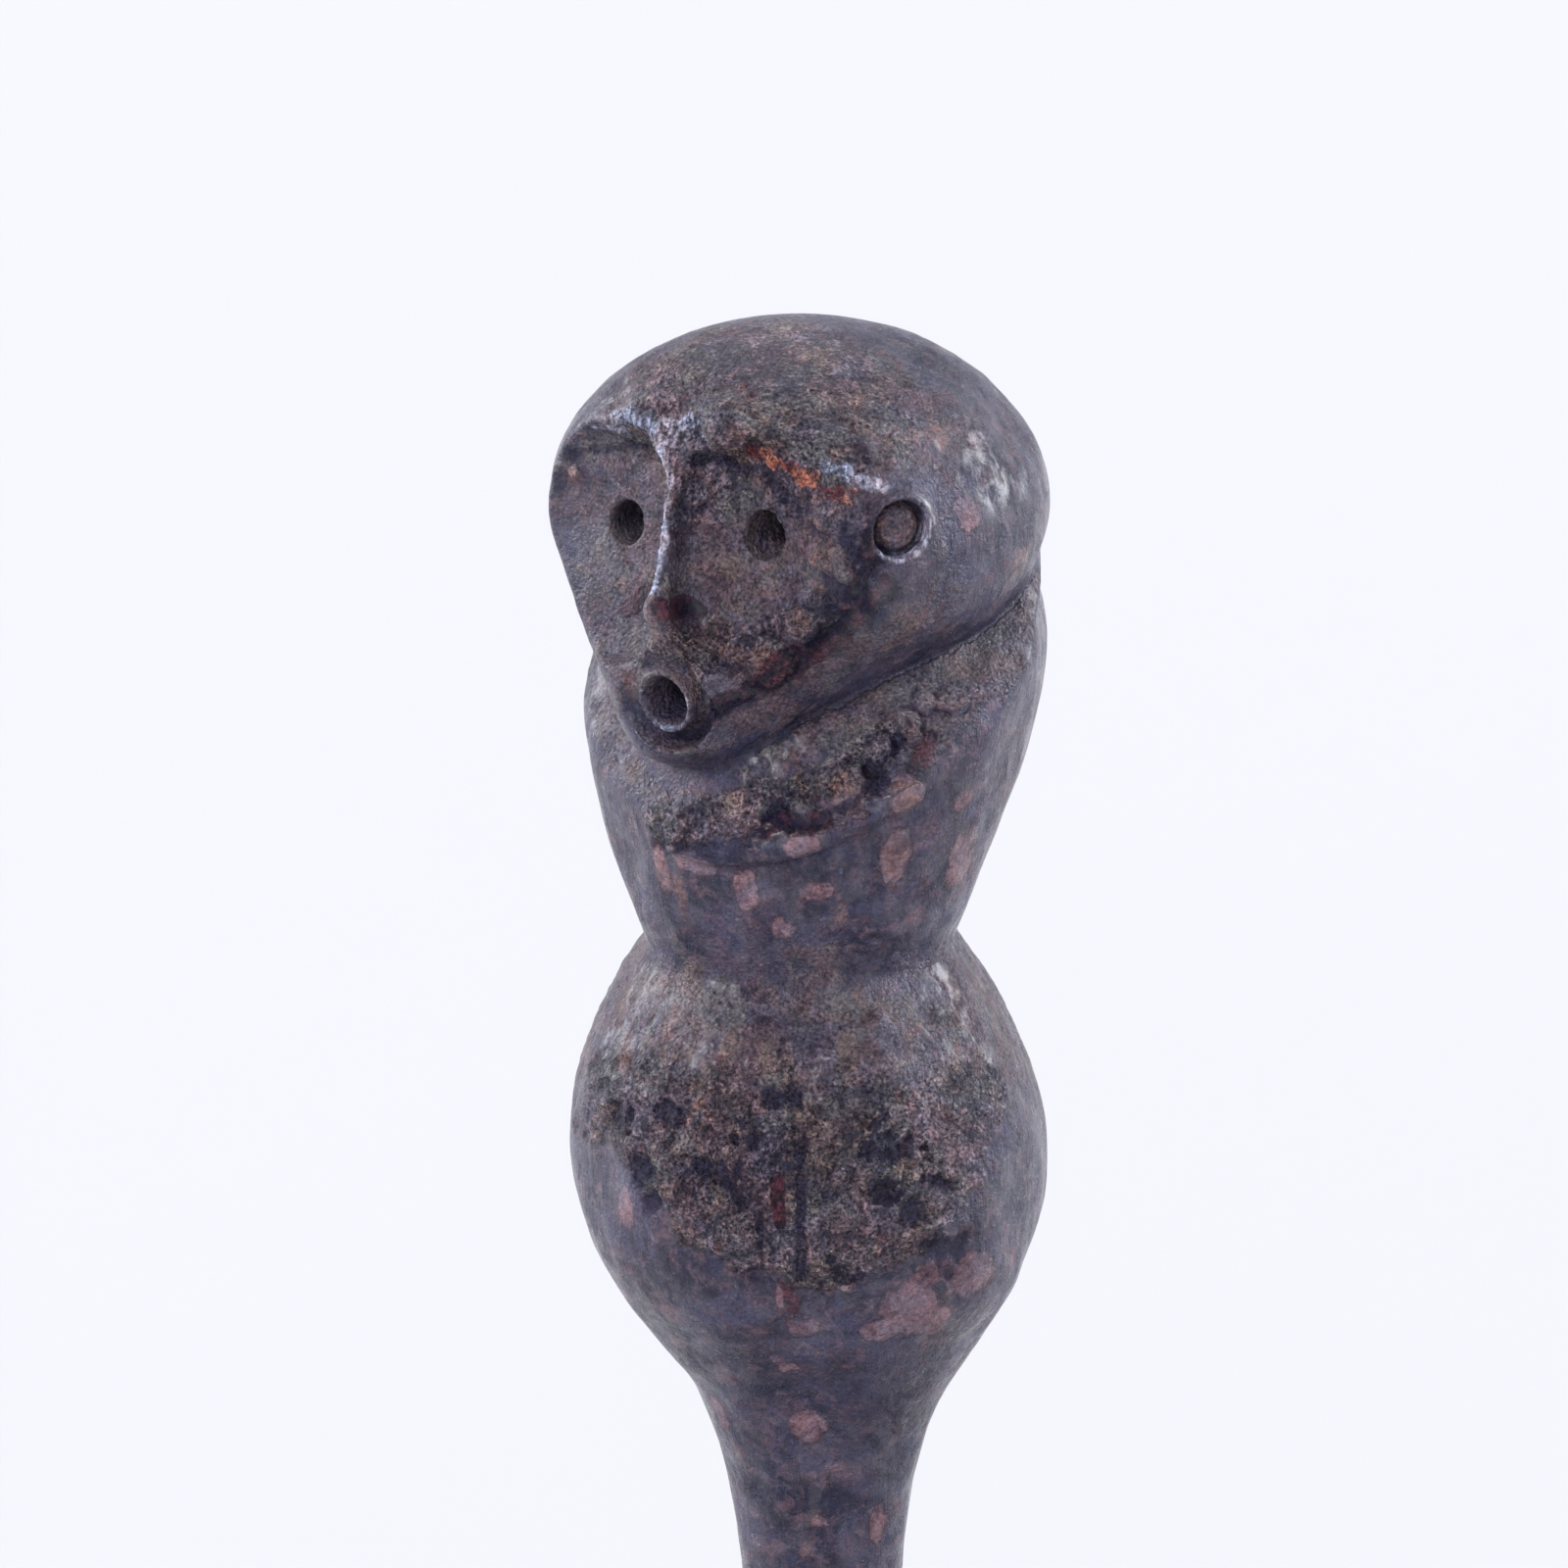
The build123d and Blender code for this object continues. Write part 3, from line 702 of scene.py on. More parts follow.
def grain(tree, vector, size, detail=3.0, roughness=0.55, warp=0.0):
    """Noise from 0 to 1 with patches of this size in mm."""
    plugs = {"Vector": vector, "Scale": 1 / (size * MM), "Detail": detail, "Roughness": roughness}
    return put(tree, "TexNoise", {**plugs, "Distortion": warp}).outputs["Fac"]


def cells(tree, vector, size, output="Distance", **settings):
    plugs = {"Vector": vector, "Scale": 1 / (size * MM)}
    return put(tree, "TexVoronoi", plugs, **settings).outputs[output]


def stretched(tree, vector, scale):
    return put(tree, "Mapping", {"Vector": vector, "Scale": scale}).outputs["Vector"]


def new_group(name, inputs, outputs):
    """A node group with these named sockets, given as (name, kind, value)."""
    group = bpy.data.node_groups.new(name, "ShaderNodeTree")
    for socket, kind, value in inputs:
        made = group.interface.new_socket(socket, in_out="INPUT", socket_type="NodeSocket" + kind)
        if value is not None:
            made.default_value = value
    for socket, kind in outputs:
        group.interface.new_socket(socket, in_out="OUTPUT", socket_type="NodeSocket" + kind)
    return group, group.nodes.new("NodeGroupInput").outputs, group.nodes.new("NodeGroupOutput").inputs


# A mask with a torn edge, as dust, crust and worn finish all have.
torn_edge_group, given, out = new_group(
    "torn_edge",
    (
        ("Vector", "Vector", None), ("Mask", "Float", 0.5), ("Scale", "Float", 500.0), ("Tear", "Float", 0.5),
        ("Softness", "Float", 0.1),
    ),
    (("Mask", "Float"),),
)
tree = torn_edge_group
fray = {"Vector": given["Vector"], "Scale": given["Scale"], "Detail": 5.0, "Roughness": 0.62}
frayed_by = maths(tree, "SUBTRACT", put(tree, "TexNoise", fray).outputs["Fac"], 0.5)
tear = maths(tree, "MULTIPLY", frayed_by, given["Tear"])
low = maths(tree, "SUBTRACT", 0.5, given["Softness"])
high = maths(tree, "ADD", 0.5, given["Softness"])
tree.links.new(step(tree, maths(tree, "ADD", given["Mask"], tear), low, high), out["Mask"])

# Loose dust and grit: a speckled colour, and a height in mm. The colour is lighter on raised clumps and bead
# tops and darker between them: painted light and shade that follows the height.
grit_group, given, out = new_group(
    "grit_and_relief_shade",
    (
        ("Vector", "Vector", None), ("Dark", "Color", (0.03, 0.02, 0.02, 1)),
        ("Light", "Color", (0.2, 0.15, 0.14, 1)), ("Size", "Float", 1.0),
    ),
    (("Color", "Color"), ("Height", "Float")),
)
tree = grit_group
sized = put(tree, "VectorMath", {0: given["Vector"], 3: given["Size"]}, operation="SCALE").outputs[0]
beads = cells(tree, sized, 0.50)
clumps = grain(tree, sized, 1.7, detail=6.0, roughness=0.72)
drifts = grain(tree, sized, 6.0, detail=3.0, roughness=0.6)
shade = maths(tree, "ADD", maths(tree, "MULTIPLY", clumps, 0.9), maths(tree, "MULTIPLY", drifts, 0.9))
shade = maths(tree, "SUBTRACT", shade, maths(tree, "MULTIPLY", beads, 0.3))
tree.links.new(mixed(tree, step(tree, shade, 0.40, 1.05), given["Dark"], given["Light"]), out["Color"])
height = maths(tree, "ADD", maths(tree, "MULTIPLY", clumps, 0.55), maths(tree, "MULTIPLY", beads, -0.20))
tree.links.new(height, out["Height"])


def torn(tree, vector, mask, size, tear, softness):
    plugs = {"Vector": vector, "Mask": mask, "Scale": 1 / (size * MM), "Tear": tear, "Softness": softness}
    made = tree.nodes.new("ShaderNodeGroup")
    made.node_tree = torn_edge_group
    return plug_in(tree, made, plugs).outputs["Mask"]


def grit_and_relief_shade(tree, vector, dark, light, size=1.0):
    made = tree.nodes.new("ShaderNodeGroup")
    made.node_tree = grit_group
    plug_in(tree, made, {"Vector": vector, "Dark": dark, "Light": light, "Size": size})
    return made.outputs["Color"], made.outputs["Height"]


def new_finish(name):
    """A material with its shader, and Object coordinates to lay patterns on."""
    finish = bpy.data.materials.new(name)
    finish.use_nodes = True
    tree = finish.node_tree
    return finish, tree, tree.nodes["Principled BSDF"], put(tree, "TexCoord").outputs["Object"]


def bumped(tree, height, strength=1.0):
    """A normal from a height in mm."""
    return put(tree, "Bump", {"Height": height, "Strength": strength, "Distance": MM}).outputs["Normal"]


patina, tree, shader, place = new_finish("patinated_wood")
mask = {name: put(tree, "Attribute", attribute_name=name).outputs["Fac"] for name in (
    "crust", "pits_and_shade", "scabs", "spots", "rust", "resin", "pigment", "rubbed_and_rim_highlight", "hollows", "dust_and_jaw_light")}


def times(first, second):
    return maths(tree, "MULTIPLY", first, second)


# Bare polished wood: near-black and violet-brown patches, a long faint grain and many small flecks.
BLACK = (0.010, 0.010, 0.024, 1)
VIOLET_BROWN = (0.050, 0.041, 0.068, 1)
WARM_BROWN = (0.112, 0.070, 0.088, 1)
DARK_GRAIN = (0.007, 0.007, 0.016, 1)
PALE_FLECK = (0.17, 0.13, 0.17, 1)
clouds = grain(tree, place, 7, detail=5, roughness=0.65, warp=0.5)
blotches = grain(tree, place, 2.2, detail=6, roughness=0.7, warp=0.6)
specks = grain(tree, place, 0.55, detail=4, roughness=0.75)
grains = grain(tree, place, 0.36, detail=2, roughness=0.7)
wood_grain = grain(tree, stretched(tree, place, (1, 1, 0.14)), 0.6, detail=5, roughness=0.65)
scratches = grain(tree, stretched(tree, place, (1, 1, 0.07)), 0.22, detail=2)
colour = mixed(tree, step(tree, clouds, 0.36, 0.64), BLACK, VIOLET_BROWN)
colour = mixed(tree, times(step(tree, blotches, 0.48, 0.64), 0.65), colour, WARM_BROWN)
colour = mixed(tree, times(step(tree, wood_grain, 0.54, 0.68), 0.6), colour, DARK_GRAIN)
colour = mixed(tree, times(step(tree, specks, 0.60, 0.72), 0.6), colour, PALE_FLECK)

# Scattered spots of old resin, in two sizes.
wander = put(tree, "TexNoise", {"Vector": place, "Scale": 420.0, "Detail": 3.0}).outputs["Color"]
wander = put(tree, "VectorMath", {0: wander, 3: 0.0022}, operation="SCALE").outputs[0]
warped = put(tree, "VectorMath", {0: place, 1: wander}, operation="ADD").outputs[0]


def scattered_spots(size, share, radius):
    scatter = put(tree, "TexVoronoi", {"Vector": warped, "Scale": 1 / (size * MM)})
    tone = put(tree, "SeparateColor", {"Color": scatter.outputs["Color"]}).outputs
    chosen = step(tree, tone[0], 1 - share, 1.05 - share)
    return times(step(tree, scatter.outputs["Distance"], radius + 0.08, radius - 0.08), chosen)


SPOT_BROWN = (0.105, 0.048, 0.056, 1)
SPOT_PINK = (0.260, 0.155, 0.168, 1)
SPOT_SPECK = (0.050, 0.030, 0.042, 1)
SPOT_RIM = (0.020, 0.012, 0.020, 1)
small_spots = maths(tree, "MAXIMUM", scattered_spots(6.5, 0.42, 0.24), scattered_spots(2.9, 0.25, 0.26))
placed_spots = torn(tree, place, mask["spots"], 1.1, 1.2, 0.36)
all_spots = maths(tree, "MAXIMUM", times(small_spots, 0.45), placed_spots)
spot_rims = times(step(tree, placed_spots, 0.02, 0.35), step(tree, placed_spots, 0.85, 0.45))
spot_tone = mixed(tree, step(tree, blotches, 0.36, 0.62), SPOT_BROWN, SPOT_PINK)
spot_tone = mixed(tree, times(step(tree, specks, 0.50, 0.66), 0.65), spot_tone, SPOT_SPECK)
colour = mixed(tree, times(all_spots, 0.74), colour, spot_tone)
colour = mixed(tree, times(spot_rims, 0.7), colour, SPOT_RIM)

# The dirt's hue wanders between violet, olive and rust.
VIOLET_TINT = (1.05, 0.89, 0.97, 1)
OLIVE_TINT = (1.03, 0.98, 0.83, 1)
RUST_TINT = (1.75, 1.00, 0.78, 1)
olive = step(tree, grain(tree, place, 5.0, detail=5, roughness=0.62, warp=0.5), 0.42, 0.60)
rusty = grain(tree, stretched(tree, place, (1, 1, 0.6)), 3.6, detail=6, roughness=0.72, warp=0.8)
hue = mixed(tree, olive, VIOLET_TINT, OLIVE_TINT)
hue = mixed(tree, times(step(tree, rusty, 0.57, 0.70), 0.8), hue, RUST_TINT)

# A thin film of dust with painted light and shade on its grit, and painted light along the jaw.
DUST_SHADE = (0.013, 0.011, 0.020, 1)
DUST_LIGHT = (0.168, 0.138, 0.144, 1)
dust_and_jaw_light_mask = times(torn(tree, place, mask["dust_and_jaw_light"], 2.2, 1.7, 0.36), 0.85)
dust_colour, dust_height = grit_and_relief_shade(tree, place, DUST_SHADE, DUST_LIGHT, 1.2)
dust_colour = mixed(tree, 1.0, dust_colour, hue, "MULTIPLY")
colour = mixed(tree, dust_and_jaw_light_mask, colour, dust_colour)

# Crust in plates with black gaps between them, and painted light and shade on its grit.
CRUST_SHADE = (0.014, 0.012, 0.023, 1)
CRUST_LIGHT = (0.300, 0.250, 0.246, 1)
CRUST_GAP = (0.010, 0.009, 0.020, 1)
crust_mask = torn(tree, place, mask["crust"], 1.4, 1.2, 0.24)
crust_colour, crust_height = grit_and_relief_shade(tree, place, CRUST_SHADE, CRUST_LIGHT, 0.9)
crust_colour = mixed(tree, 1.0, crust_colour, hue, "MULTIPLY")
gaps = step(tree, cells(tree, warped, 3.8, feature="DISTANCE_TO_EDGE"), 0.17, 0.03)
gaps = times(gaps, step(tree, blotches, 0.42, 0.56))
small_gaps = step(tree, cells(tree, warped, 1.8, feature="DISTANCE_TO_EDGE"), 0.15, 0.02)
gaps = maths(tree, "MAXIMUM", gaps, times(small_gaps, times(step(tree, clouds, 0.44, 0.58), 0.8)))
wandering = grain(tree, place, 3.2, detail=5, roughness=0.6, warp=1.0)
off_crack = maths(tree, "ABSOLUTE", maths(tree, "SUBTRACT", wandering, 0.5))
gaps = maths(tree, "MAXIMUM", gaps, times(step(tree, off_crack, 0.032, 0.006), 0.85))
crust_patches = step(tree, grain(tree, place, 4.6, detail=6, roughness=0.7, warp=1.2), 0.52, 0.62)
crust_dark = maths(tree, "MAXIMUM", times(gaps, 0.9), times(crust_patches, 0.7))
crust_colour = mixed(tree, times(crust_dark, 0.88), crust_colour, CRUST_GAP)
colour = mixed(tree, times(crust_mask, 0.94), colour, crust_colour)

# Scabs of crust, and smears of rust-brown dirt.
SCAB_SHADE = (0.045, 0.032, 0.036, 1)
SCAB_LIGHT = (0.21, 0.155, 0.150, 1)
RUST_SHADE = (0.120, 0.050, 0.045, 1)
RUST_LIGHT = (0.30, 0.165, 0.125, 1)
scab_mask = torn(tree, place, mask["scabs"], 0.8, 0.5, 0.25)
scab_tone = mixed(tree, step(tree, specks, 0.40, 0.62), SCAB_SHADE, SCAB_LIGHT)
colour = mixed(tree, times(scab_mask, 0.7), colour, scab_tone)
rust_mask = times(torn(tree, place, mask["rust"], 1.4, 2.4, 0.36), step(tree, specks, 0.30, 0.56))
rust_tone = mixed(tree, step(tree, blotches, 0.38, 0.62), RUST_SHADE, RUST_LIGHT)
colour = mixed(tree, times(rust_mask, 0.55), colour, rust_tone)

# Resin, pigment, dark pits, painted shade in hollows, grooves and the mouth, rubbed ridges and painted rim
# highlights.
RESIN_BLACK = (0.006, 0.003, 0.010, 1)
RESIN_RED = (0.082, 0.022, 0.032, 1)
PIGMENT_RED = (0.12, 0.030, 0.032, 1)
PIGMENT_ORANGE = (0.42, 0.16, 0.10, 1)
SHADE_AND_PIT_DARK = (0.010, 0.008, 0.024, 1)
RUBBED_AND_HIGHLIGHT_SHADE = (0.10, 0.09, 0.12, 1)
RUBBED_AND_HIGHLIGHT_LIGHT = (0.50, 0.48, 0.56, 1)
resin_mask = torn(tree, place, mask["resin"], 1.1, 1.1, 0.2)
resin_tone = mixed(tree, step(tree, blotches, 0.44, 0.60), RESIN_BLACK, RESIN_RED)
colour = mixed(tree, times(resin_mask, 0.92), colour, resin_tone)
pigment_mask = times(torn(tree, place, mask["pigment"], 0.7, 1.6, 0.16), step(tree, specks, 0.34, 0.50))
pigment_tone = mixed(tree, step(tree, grain(tree, place, 3.2), 0.44, 0.54), PIGMENT_RED, PIGMENT_ORANGE)
colour = mixed(tree, pigment_mask, colour, pigment_tone)
# Pits and cracks are dark, and hollows, grooves, the mouth's cup and the shadow lines get painted shade.
pit_and_shade_mask = torn(tree, place, mask["pits_and_shade"], 1.0, 1.5, 0.36)
hollow_shade_mask = step(tree, maths(tree, "ADD", mask["hollows"], times(blotches, 0.3)), 0.22, 0.80)
shade_and_pit_mask = maths(tree, "MAXIMUM", times(pit_and_shade_mask, 0.84), times(hollow_shade_mask, 0.5))
colour = mixed(tree, shade_and_pit_mask, colour, SHADE_AND_PIT_DARK)
in_streaks = maths(tree, "ADD", 0.35, times(wood_grain, 0.9))
# Pale worn ridges, and painted highlights on the rims of the ear and the mouth.
rubbed_and_highlight_mask = times(torn(tree, place, mask["rubbed_and_rim_highlight"], 1.3, 1.5, 0.36), in_streaks)
rubbed_and_highlight_tone = mixed(tree, step(tree, wood_grain, 0.40, 0.60), RUBBED_AND_HIGHLIGHT_SHADE, RUBBED_AND_HIGHLIGHT_LIGHT)
colour = mixed(tree, rubbed_and_highlight_mask, colour, rubbed_and_highlight_tone)

# Every grain is lighter or darker than its neighbours, and more so on the dirt and on the upper part. The same
# grains raise the relief below, so raised grains get painted light and low ones painted shade.
STICK_CLEAN_TO = foot + 40 * MM
DIRTY_FROM = foot + 85 * MM
covered = maths(tree, "MAXIMUM", crust_mask, times(dust_and_jaw_light_mask, 0.62))
level = put(tree, "SeparateXYZ", {"Vector": place}).outputs["Z"]
upper_part = step(tree, level, STICK_CLEAN_TO, DIRTY_FROM)
contrast = maths(tree, "ADD", maths(tree, "ADD", 0.4, times(upper_part, 0.95)), times(covered, 2.1))
grain_light_and_shade = maths(tree, "ADD", 1.0, times(maths(tree, "SUBTRACT", grains, 0.5), times(contrast, 1.6)))
colour = mixed(tree, 1.0, colour, maths(tree, "MAXIMUM", grain_light_and_shade, 0.12), "MULTIPLY")

# Brown and blue-violet drift into each other over the whole carving.
BROWN_DRIFT = (1.10, 1.00, 1.00, 1)
BLUE_DRIFT = (0.90, 1.05, 1.22, 1)
drift = step(tree, grain(tree, place, 4.2, detail=5, roughness=0.66, warp=0.7), 0.41, 0.59)
drift_tone = mixed(tree, drift, BROWN_DRIFT, BLUE_DRIFT)
colour = mixed(tree, 1.0, colour, drift_tone, "MULTIPLY")
tree.links.new(colour, shader.inputs["Base Color"])

# The dirt is duller than the wood, the resin is glossy, and small worn facets glint.
gloss = maths(tree, "ADD", 0.18, times(blotches, 0.26))
gloss = maths(tree, "ADD", gloss, times(covered, 0.22))
glints = step(tree, grain(tree, place, 0.45, detail=1), 0.56, 0.66)
gloss = maths(tree, "SUBTRACT", gloss, times(glints, 0.34))
gloss = put(tree, "Mix", {0: resin_mask, 2: gloss, 3: 0.30}).outputs[0]
tree.links.new(maths(tree, "MAXIMUM", gloss, 0.12), shader.inputs["Roughness"])

# The fine relief of the wood and of all that lies on it, in mm.
relief = maths(tree, "ADD", times(wood_grain, 0.30), times(scratches, 0.09))
relief = maths(tree, "ADD", relief, times(blotches, 0.40))
relief = maths(tree, "ADD", relief, times(specks, 0.24))
relief = maths(tree, "ADD", relief, times(grains, maths(tree, "ADD", 0.06, times(covered, 0.46))))
relief = maths(tree, "ADD", relief, times(times(resin_mask, specks), 0.5))
relief = maths(tree, "ADD", relief, times(times(crust_mask, crust_height), 2.0))
relief = maths(tree, "SUBTRACT", relief, times(times(crust_mask, gaps), 0.35))
relief = maths(tree, "ADD", relief, times(times(dust_and_jaw_light_mask, dust_height), 1.3))
relief = maths(tree, "ADD", relief, times(all_spots, 0.06))
tree.links.new(bumped(tree, relief), shader.inputs["Normal"])

# Oil has built up a glossy coat here and there on the bare wood.
sheen = grain(tree, stretched(tree, place, (1, 1, 0.6)), 2.4, detail=6, roughness=0.72, warp=0.5)
coat = times(step(tree, sheen, 0.42, 0.62), times(maths(tree, "SUBTRACT", 1.0, covered), 0.6))
coat = times(coat, maths(tree, "SUBTRACT", 1.0, shade_and_pit_mask))
tree.links.new(coat, shader.inputs["Coat Weight"])
shader.inputs["Coat Roughness"].default_value = 0.27
shader.inputs["Coat IOR"].default_value = 1.55
shader.inputs["Specular IOR Level"].default_value = 0.42
shader.inputs["Specular Tint"].default_value = (0.84, 0.82, 1.0, 1)
figure.data.materials.append(patina)

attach(figure, "figure")
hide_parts("carved_figure")

# ---------------------------------------------------------------- stand block
# A square block of close-grained hardwood, stained black and waxed. Its top edges are chamfered and its corners
# broken, and the counterbore under it takes the nut.
block = copy_of_node("base_block", "stand_block")
bpy.ops.object.mode_set(mode="EDIT")
bpy.ops.mesh.select_all(action="SELECT")
bpy.ops.mesh.dissolve_limited(angle_limit=radians(1))
bpy.ops.object.mode_set(mode="OBJECT")
BROKEN_EDGE = 0.35 * MM
SHARPER_THAN = radians(30)
finish_modifier(
    block, "BEVEL", width=BROKEN_EDGE, segments=3, limit_method="ANGLE", angle_limit=SHARPER_THAN
)
bpy.ops.object.shade_smooth_by_angle(angle=SHARPER_THAN)

ebonised, tree, shader, place = new_finish("ebonised_wood")
along_grain = stretched(tree, place, (0.05, 1, 1))
pores = grain(tree, along_grain, 0.5, detail=3, roughness=0.6)
figuring = grain(tree, stretched(tree, place, (0.12, 1, 1)), 3.5, detail=4, roughness=0.55, warp=0.8)
STAIN_BLACK = (0.010, 0.009, 0.010, 1)
STAIN_BROWN = (0.034, 0.027, 0.026, 1)
PORE_BLACK = (0.003, 0.003, 0.004, 1)
ARRIS_BROWN = (0.095, 0.060, 0.042, 1)
colour = mixed(tree, step(tree, figuring, 0.32, 0.68), STAIN_BLACK, STAIN_BROWN)
colour = mixed(tree, times(step(tree, pores, 0.58, 0.70), 0.8), colour, PORE_BLACK)
# Wax and stain are rubbed thin along the arrises: there two of the three distances to the faces are small.
block_low, block_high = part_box("base_block")
block_middle = (block_low + block_high) / 2
block_half = (block_high - block_low) / 2
centred = put(tree, "VectorMath", {0: place, 1: block_middle}, operation="SUBTRACT").outputs[0]
outward = put(tree, "VectorMath", {0: centred}, operation="ABSOLUTE").outputs[0]
inset = put(tree, "VectorMath", {0: outward, 1: block_half}, operation="SUBTRACT").outputs[0]
inset = put(tree, "SeparateXYZ", {"Vector": inset}).outputs
pairs = [maths(tree, "MINIMUM", inset[first], inset[second]) for first, second in ((0, 1), (1, 2), (0, 2))]
nearest_arris = maths(tree, "MAXIMUM", maths(tree, "MAXIMUM", pairs[0], pairs[1]), pairs[2])
arris = torn(tree, place, times(step(tree, nearest_arris, -2.2 * MM, -0.4 * MM), 0.8), 2.6, 2.4, 0.3)
colour = mixed(tree, times(arris, 0.55), colour, ARRIS_BROWN)
block_dust = times(torn(tree, place, 0.34, 7, 0.8, 0.2), 0.16)
dust_colour, dust_height = grit_and_relief_shade(tree, place, (0.06, 0.055, 0.055, 1), (0.25, 0.235, 0.23, 1), 0.8)
colour = mixed(tree, block_dust, colour, dust_colour)
tree.links.new(colour, shader.inputs["Base Color"])
satin = maths(tree, "ADD", times(figuring, 0.18), times(block_dust, 1.2))
tree.links.new(maths(tree, "ADD", 0.36, satin), shader.inputs["Roughness"])
shader.inputs["Specular IOR Level"].default_value = 0.35
block_relief = maths(tree, "ADD", times(pores, -0.10), times(figuring, 0.06))
tree.links.new(bumped(tree, block_relief, 0.8), shader.inputs["Normal"])
block.data.materials.append(ebonised)
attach(block, "stand")
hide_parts("base_block")

# ---------------------------------------------------------------- pin, washer and nut
# Bright steel, turned on a lathe: the pin is pushed up through the block, and the nut draws its flange
# down flush.
steel, tree, shader, place = new_finish("turned_steel")
flat = stretched(tree, place, (1, 1, 0))
from_axis = put(tree, "VectorMath", {0: flat}, operation="LENGTH").outputs["Value"]
up_axis = put(tree, "SeparateXYZ", {"Vector": place}).outputs["Z"]
lathe_place = put(tree, "CombineXYZ", {"X": from_axis, "Z": up_axis}).outputs["Vector"]
turning = grain(tree, lathe_place, 0.16, detail=3, roughness=0.6)
tarnish = grain(tree, place, 3.0, detail=4, roughness=0.6)
BRIGHT_STEEL = (0.62, 0.62, 0.63, 1)
DULL_STEEL = (0.42, 0.41, 0.40, 1)
TOOL_MARK_GREY = (0.30, 0.30, 0.31, 1)
steel_tone = mixed(tree, step(tree, tarnish, 0.35, 0.70), BRIGHT_STEEL, DULL_STEEL)
tree.links.new(mixed(tree, times(turning, 0.3), steel_tone, TOOL_MARK_GREY), shader.inputs["Base Color"])
dulled = maths(tree, "ADD", times(turning, 0.16), times(tarnish, 0.12))
tree.links.new(maths(tree, "ADD", 0.20, dulled), shader.inputs["Roughness"])
# The tail has an M4 thread, below the washer.
THREAD_PITCH = 0.7 * MM
THREAD_OUTSIDE = 2.02 * MM
threads_up = maths(tree, "FRACT", maths(tree, "DIVIDE", up_axis, THREAD_PITCH))
thread = maths(tree, "ABSOLUTE", maths(tree, "SUBTRACT", threads_up, 0.5))
washer_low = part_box("pin_washer")[0].z
on_tail = maths(tree, "LESS_THAN", up_axis, washer_low)
on_shank = maths(tree, "LESS_THAN", from_axis, THREAD_OUTSIDE)
thread = times(times(thread, times(on_tail, on_shank)), 0.8)
tree.links.new(bumped(tree, maths(tree, "ADD", times(turning, 0.012), thread)), shader.inputs["Normal"])
shader.inputs["Metallic"].default_value = 1.0
for node_name in ("mounting_pin", "pin_washer", "pin_nut"):
    for material_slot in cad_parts[node_name].material_slots:
        material_slot.material = steel

# ---------------------------------------------------------------- felt disc and pads
# Discs punched from pressed wool felt: one under the carving, with a hole for the pin, and four under the
# block.
FELT_PITCH = 0.22 * MM
SOFT_RIM = 0.28 * MM


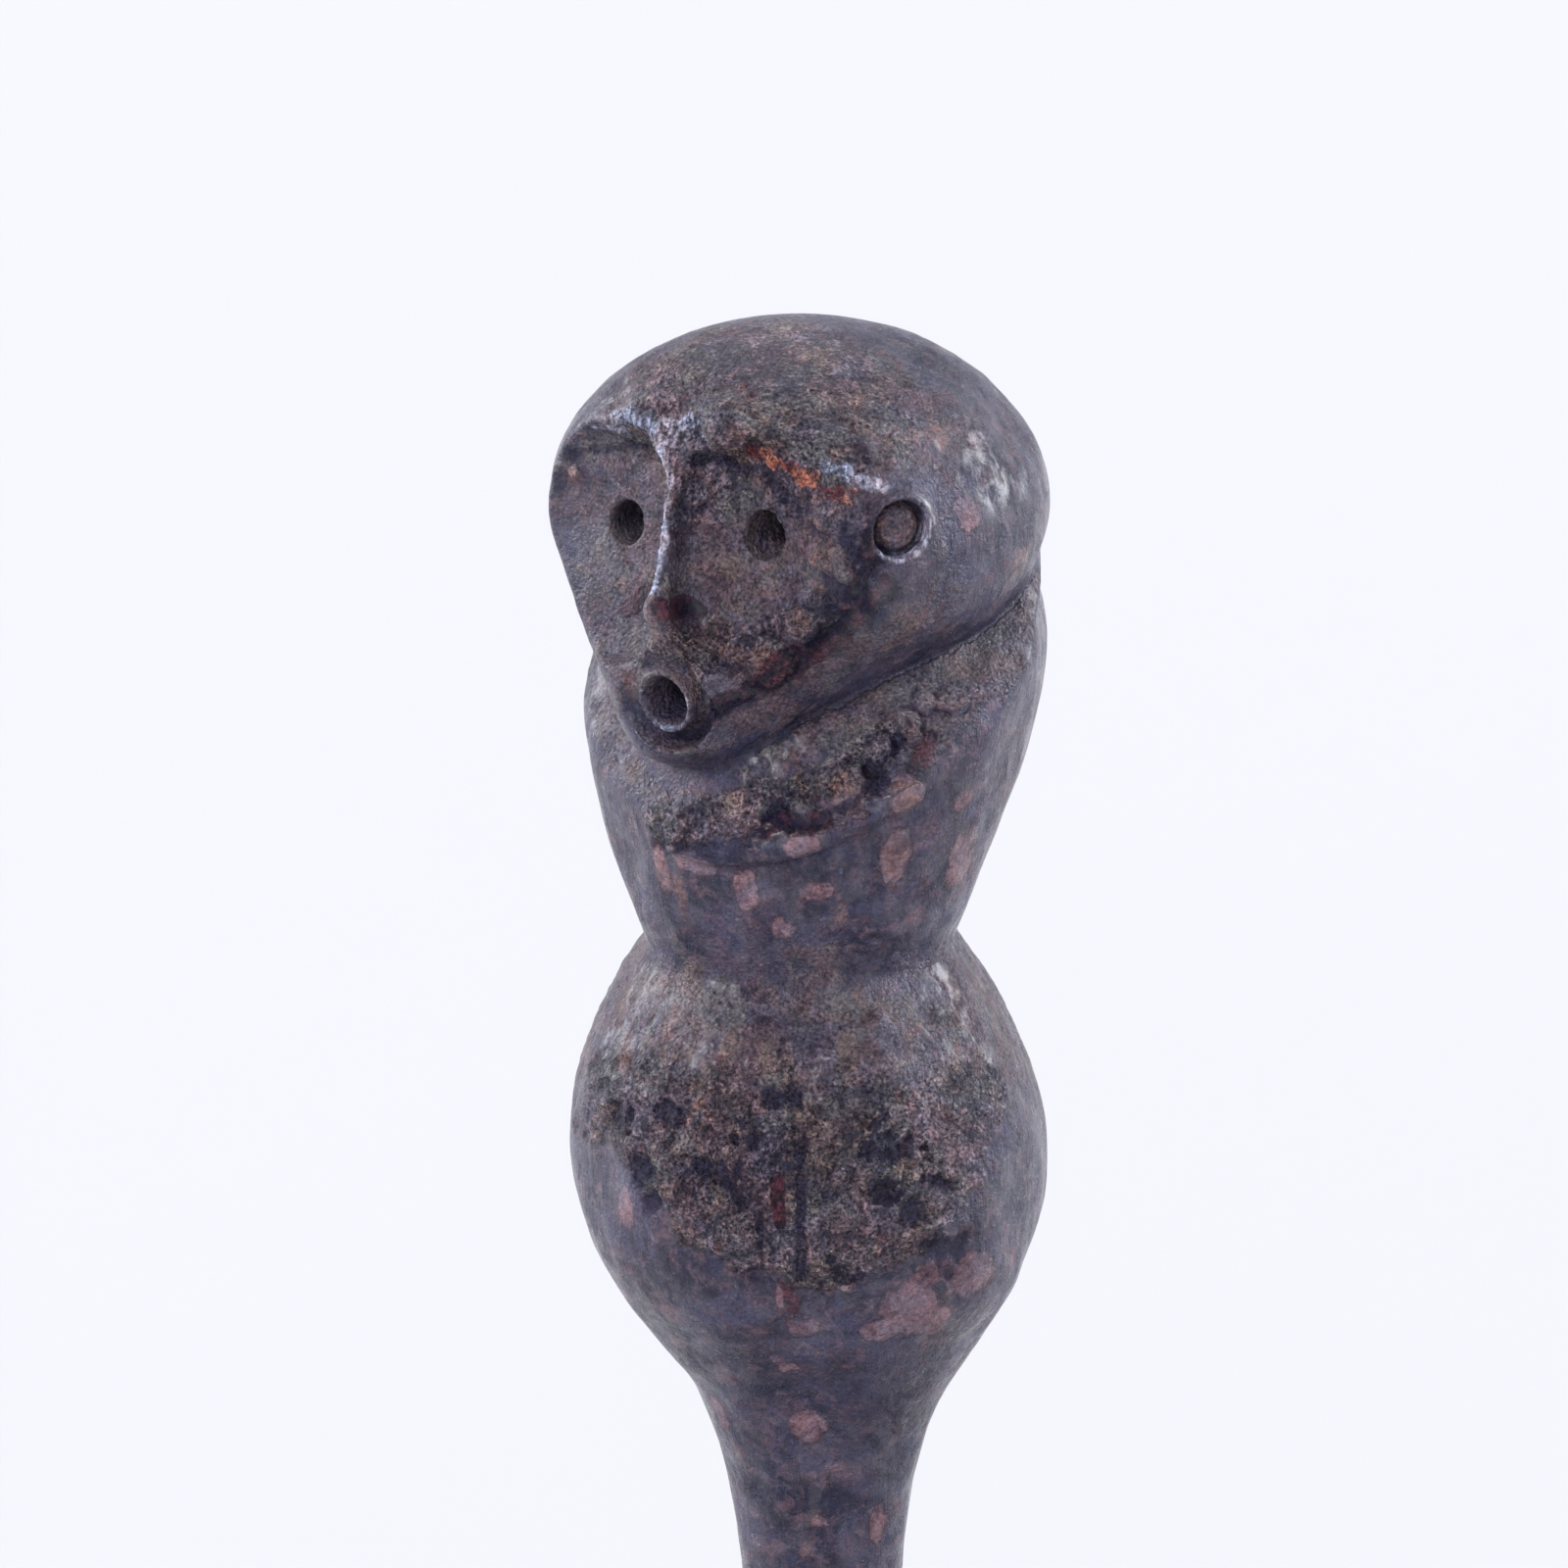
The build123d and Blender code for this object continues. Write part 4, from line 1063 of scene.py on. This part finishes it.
def felt_disc(name, middle, radius, thickness, hole=0.0):
    """A punched disc with soft rims and a matted surface."""
    bpy.ops.object.select_all(action="DESELECT")
    bottom = middle - Vector((0, 0, thickness / 2))
    bpy.ops.mesh.primitive_circle_add(vertices=96, radius=radius, fill_type="NGON", location=bottom)
    disc = bpy.context.object
    disc.name = name
    bpy.ops.object.mode_set(mode="EDIT")
    if hole:
        bpy.ops.mesh.inset(thickness=radius - hole)
        bpy.ops.mesh.delete(type="FACE")
        bpy.ops.mesh.select_all(action="SELECT")
    bpy.ops.mesh.extrude_region_move(TRANSFORM_OT_translate={"value": (0, 0, thickness)})
    bpy.ops.mesh.select_all(action="SELECT")
    bpy.ops.mesh.normals_make_consistent(inside=False)
    bpy.ops.object.mode_set(mode="OBJECT")
    bpy.ops.object.transform_apply(location=True, rotation=True, scale=True)
    finish_modifier(disc, "BEVEL", width=SOFT_RIM, segments=3, limit_method="ANGLE", angle_limit=radians(40))
    finish_modifier(disc, "REMESH", mode="VOXEL", voxel_size=FELT_PITCH)
    finish_modifier(disc, "SMOOTH", factor=0.5, iterations=2)
    places = corners(disc)
    matting = mottle(places / MM, 0.7, 3, shift=41.0)[:, None] * normals(disc)
    places = places + 0.05 * MM * (matting - 1.2 * normals(disc))
    places[:, 2] = np.clip(places[:, 2], bottom.z, bottom.z + thickness)
    move_corners(disc, places)
    bpy.ops.object.shade_smooth()
    disc.data.materials.append(felt)
    return disc


felt, tree, shader, place = new_finish("pressed_felt")
fibres = grain(tree, stretched(tree, place, (1, 0.25, 1)), 0.25, detail=3, roughness=0.7, warp=2.5)
cross_fibres = grain(tree, stretched(tree, place, (0.25, 1, 1)), 0.25, detail=3, roughness=0.7, warp=2.5)
matted = maths(tree, "MAXIMUM", fibres, cross_fibres)
FELT_SHADE = (0.018, 0.018, 0.021, 1)
FELT_LIGHT = (0.085, 0.085, 0.092, 1)
felt_tone = mixed(tree, step(tree, matted, 0.45, 0.75), FELT_SHADE, FELT_LIGHT)
tree.links.new(felt_tone, shader.inputs["Base Color"])
tree.links.new(bumped(tree, times(matted, 0.16)), shader.inputs["Normal"])
shader.inputs["Roughness"].default_value = 0.95
shader.inputs["Sheen Weight"].default_value = 0.35

disc_low, disc_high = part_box("foot_disc")
disc_size = disc_high - disc_low
PIN_HOLE = 2.35 * MM
foot_felt = felt_disc("foot_felt", (disc_low + disc_high) / 2, disc_size.x / 2, disc_size.z, PIN_HOLE)
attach(foot_felt, "turning_disc")
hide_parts("foot_disc")

pads_low, pads_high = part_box("felt_pads")
pad_thickness = pads_high.z - pads_low.z
PAD_RADIUS = 5.0 * MM
punched_pad = felt_disc("felt_pad_4", Vector((0, 0, pads_low.z + pad_thickness / 2)), PAD_RADIUS, pad_thickness)
reach = pads_high.x - PAD_RADIUS
for number, (side, front) in enumerate(((-1, -1), (1, -1), (-1, 1), (1, 1)), start=1):
    pad = punched_pad if number == 4 else punched_pad.copy()
    if number < 4:
        pad.data = punched_pad.data.copy()
        bpy.context.scene.collection.objects.link(pad)
    pad.data.transform(Matrix.Rotation(number * pi / 2, 4, "Z"))
    pad.data.transform(Matrix.Translation((side * reach, front * reach, 0)))
    pad.name = f"felt_pad_{number}"
    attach(pad, "stand")
    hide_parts("felt_pads")
